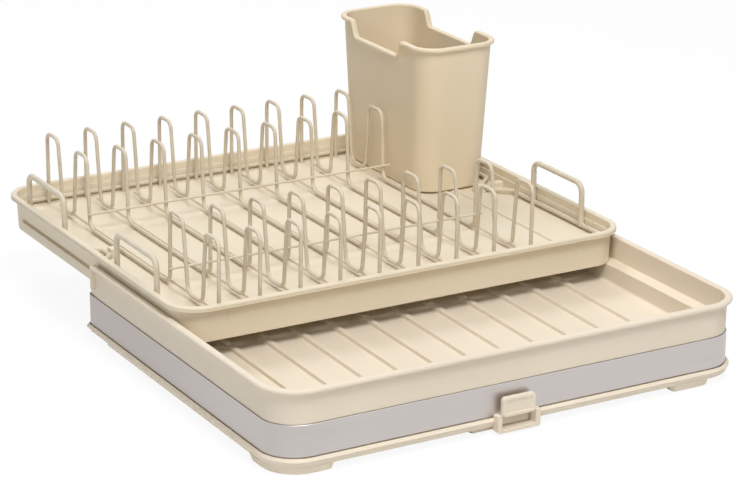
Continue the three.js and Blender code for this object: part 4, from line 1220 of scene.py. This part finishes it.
class BuildHolder(Operator):
    """Cutlery holder: a tapered cup with a rolled rim that dips along both sides"""

    bl_idname = "drainer.holder"
    bl_label = "Cutlery holder"

    def execute(self, context):
        sizes = context.scene.drainer.holder
        made = piece("holder_cup", self.cup(sizes), "holder", "holder cream", ["utensil_holder"])
        floor, edge = HOLDER_LOW.z, sizes.overhang + sizes.wall
        x = (HOLDER_LOW.x + HOLDER_HIGH.x + sizes.taper_inner - sizes.taper_side) / 2
        y0 = HOLDER_LOW.y + edge + sizes.taper_front
        y1 = HOLDER_HIGH.y - edge - sizes.taper_back
        half, wide = sizes.slot_length / 2, sizes.slot_width / 2
        slots = []
        for y in np.linspace(y0, y1, sizes.slot_count + 2)[1:-1]:
            rect = Rect(x - half, x + half, y - wide, y + wide, 1.6 * MM)
            slots.append(block(rect, floor - 2 * MM, floor + 4 * MM, 0.5 * MM))
        cut(made, joined(slots))
        return {"FINISHED"}

    def cup(self, sizes):
        """Every ring's sides lie between the foot's and the rim's by its height. Near the top
        the rings follow the rim, which dips between two ramps."""
        rim = Rect(HOLDER_LOW.x, HOLDER_HIGH.x, HOLDER_LOW.y, HOLDER_HIGH.y, sizes.corner)
        top, foot = HOLDER_HIGH.z, HOLDER_LOW.z
        start, end = rim.y0 + sizes.dip_front, rim.y1 - sizes.dip_back
        roll, edge, brow = sizes.rim_height / 2, sizes.overhang + sizes.wall, 1.6 * MM
        round_in, round_out = 3 * MM, 2.2 * MM  # radii at the foot, inside and outside
        inside = foot + sizes.wall

        def along_rim(section):
            """Rings of a section, lowered where the rim dips."""
            def level(z):
                return lambda x, y: z - sizes.dip * between(
                    y, start - sizes.ramp, end + sizes.ramp, sizes.ramp)
            return rings(rim, [(inward, level(z)) for inward, z in section])

        def wall(inward, z):
            """The wall's outline at a height, with the taper's share of that height."""
            share = (top - sizes.rim_height - z) / (top - sizes.rim_height - foot)
            base = rim.inset(sizes.overhang + inward)
            return Rect(
                base.x0 + sizes.taper_inner * share, base.x1 - sizes.taper_side * share,
                base.y0 + sizes.taper_front * share, base.y1 - sizes.taper_back * share, base.radii)

        places = np.concatenate([
            np.linspace(start - sizes.ramp, start, 9), np.linspace(end, end + sizes.ramp, 9)])
        layout = Layout(np.linspace(0, 1, 7), shares_along(rim, places), 14)
        sides = [(wall(sizes.wall + inward, inside), inside + up)
                 for inward, up in fillet(round_in)[1:]]
        sides += [(wall(sizes.wall, z), z) for z in (120 * MM, 170 * MM)]
        sides += along_rim([(edge, top - 5 * MM)])
        sides += along_rim(arc((edge - brow, top - brow), brow, 0, 1, 5))
        sides += along_rim(arc((roll, top - roll), roll, 1, 3, 9))
        sides += along_rim(mm([(-1.0, 0.1), (-0.3, -0.2), (0, -1.0)], sizes.overhang,
                              top - sizes.rim_height))
        sides += [(wall(0, z), z) for z in (170 * MM, 120 * MM)]
        sides += [(wall(inward, foot), foot + up) for up, inward in fillet(round_out)[:-1]]
        return shell(layout, (wall(sizes.wall + round_in, inside), inside), sides,
                     (wall(round_out, foot), foot))


class BuildStage(Operator):
    """Pale ground, soft light and the camera at the photograph's place"""

    bl_idname = "drainer.stage"
    bl_label = "Stage"

    LAMPS = {"key": ((-0.2, -1.1, 2.0), 32), "back": ((0.2, 1.2, 1.9), 15),
             "front": ((0.1, -2.2, 1.3), 2.2), "side": ((-1.8, -1.2, 1.0), 6)}  # place, watts
    LAMP_SIZE = 1.0
    LAMP_TARGET = (0, 0.02, 0.05)
    GROUND_REACH, GROUND_LEVEL = 9.0, -0.2 * MM
    LENS, SENSOR = 134.65, 36.0
    CAMERA_PLACE = (-0.87989, -1.69339, 0.84411)  # x and y from the band's front left corner
    CAMERA_TURN = (71.160, -0.083, -29.448)  # degrees

    def execute(self, context):
        self.ground(context)
        self.world(context)
        for name, (place, power) in self.LAMPS.items():
            self.lamp(context, name, place, power)
        self.camera(context)
        context.scene.view_settings.view_transform = "Standard"
        return {"FINISHED"}

    def ground(self, context):
        mesh = bpy.data.meshes.new("ground")
        reach, level = self.GROUND_REACH, self.GROUND_LEVEL
        corners = [(-reach, -reach), (reach, -reach), (reach, reach), (-reach, reach)]
        mesh.from_pydata([(x, y, level) for x, y in corners], [], [(0, 1, 2, 3)])
        mesh.materials.append(finish_of("ground")[1])
        made = bpy.data.objects.new("ground", mesh)
        context.scene.collection.objects.link(made)

    def world(self, context):
        """White to the camera and in reflections, and a softer white as light."""
        paint = Paint(bpy.data.worlds.new("studio"))
        glow = {"Color": (1, 1, 1, 1), "Strength": paint.ray_share() * 0.77 + 0.23}
        shader = paint.node("ShaderNodeBackground", {}, glow, "Background")
        context.scene.world = paint.end(shader, "ShaderNodeOutputWorld")

    def lamp(self, context, name, place, power):
        """A round soft lamp turned towards the middle of the object."""
        light = bpy.data.lights.new(name, "AREA")
        light.shape = "DISK"
        light.size = self.LAMP_SIZE
        light.energy = power
        made = bpy.data.objects.new(name, light)
        context.scene.collection.objects.link(made)
        made.location = place
        way = np.array(self.LAMP_TARGET) - np.array(place)
        made.rotation_euler = (math.atan2(math.hypot(way[0], way[1]), -way[2]), 0,
                               math.atan2(way[1], way[0]) - QUARTER)

    def camera(self, context):
        """The camera's place and turn, worked out from the object's straight edges."""
        lens = bpy.data.cameras.new("view")
        lens.lens, lens.sensor_width, lens.clip_start = self.LENS, self.SENSOR, 0.05
        made = bpy.data.objects.new("view", lens)
        context.scene.collection.objects.link(made)
        x, y, z = self.CAMERA_PLACE
        made.location = (BAND_LOW.x + x, BAND_LOW.y + y, z)
        made.rotation_euler = [math.radians(turn) for turn in self.CAMERA_TURN]
        context.scene.camera = made


class DrainerPanel(Panel):
    """Lists the steps and the values"""

    bl_idname = "VIEW3D_PT_drainer"
    bl_label = "Dish drainer"
    bl_space_type = "VIEW_3D"
    bl_region_type = "UI"
    bl_category = "Drainer"

    def draw(self, context):
        values = context.scene.drainer
        for step in STEPS:
            self.layout.operator(step.bl_idname)
        for group in (values.base, values.frame, values.tray, values.rack, values.holder,
                      values.finishes):
            column = self.layout.column(align=True)
            for key in group.__annotations__:
                column.prop(group, key)


STEPS = (BuildBaseTray, BuildSteelBand, BuildBottomFrame, BuildSpout, BuildSlideTray, BuildCatches,
         BuildRack, BuildHolder, BuildStage)
CLASSES = (BaseSizes, FrameSizes, TraySizes, RackSizes, HolderSizes, Finishes, DrainerProperties,
           *STEPS, DrainerPanel)


def register():
    for each in CLASSES:
        bpy.utils.register_class(each)
    bpy.types.Scene.drainer = PointerProperty(type=DrainerProperties)


def unregister():
    del bpy.types.Scene.drainer
    for each in reversed(CLASSES):
        bpy.utils.unregister_class(each)


def main():
    register()
    for step in STEPS:
        group, name = step.bl_idname.split(".")
        getattr(getattr(bpy.ops, group), name)()


if __name__ == "__main__":
    main()
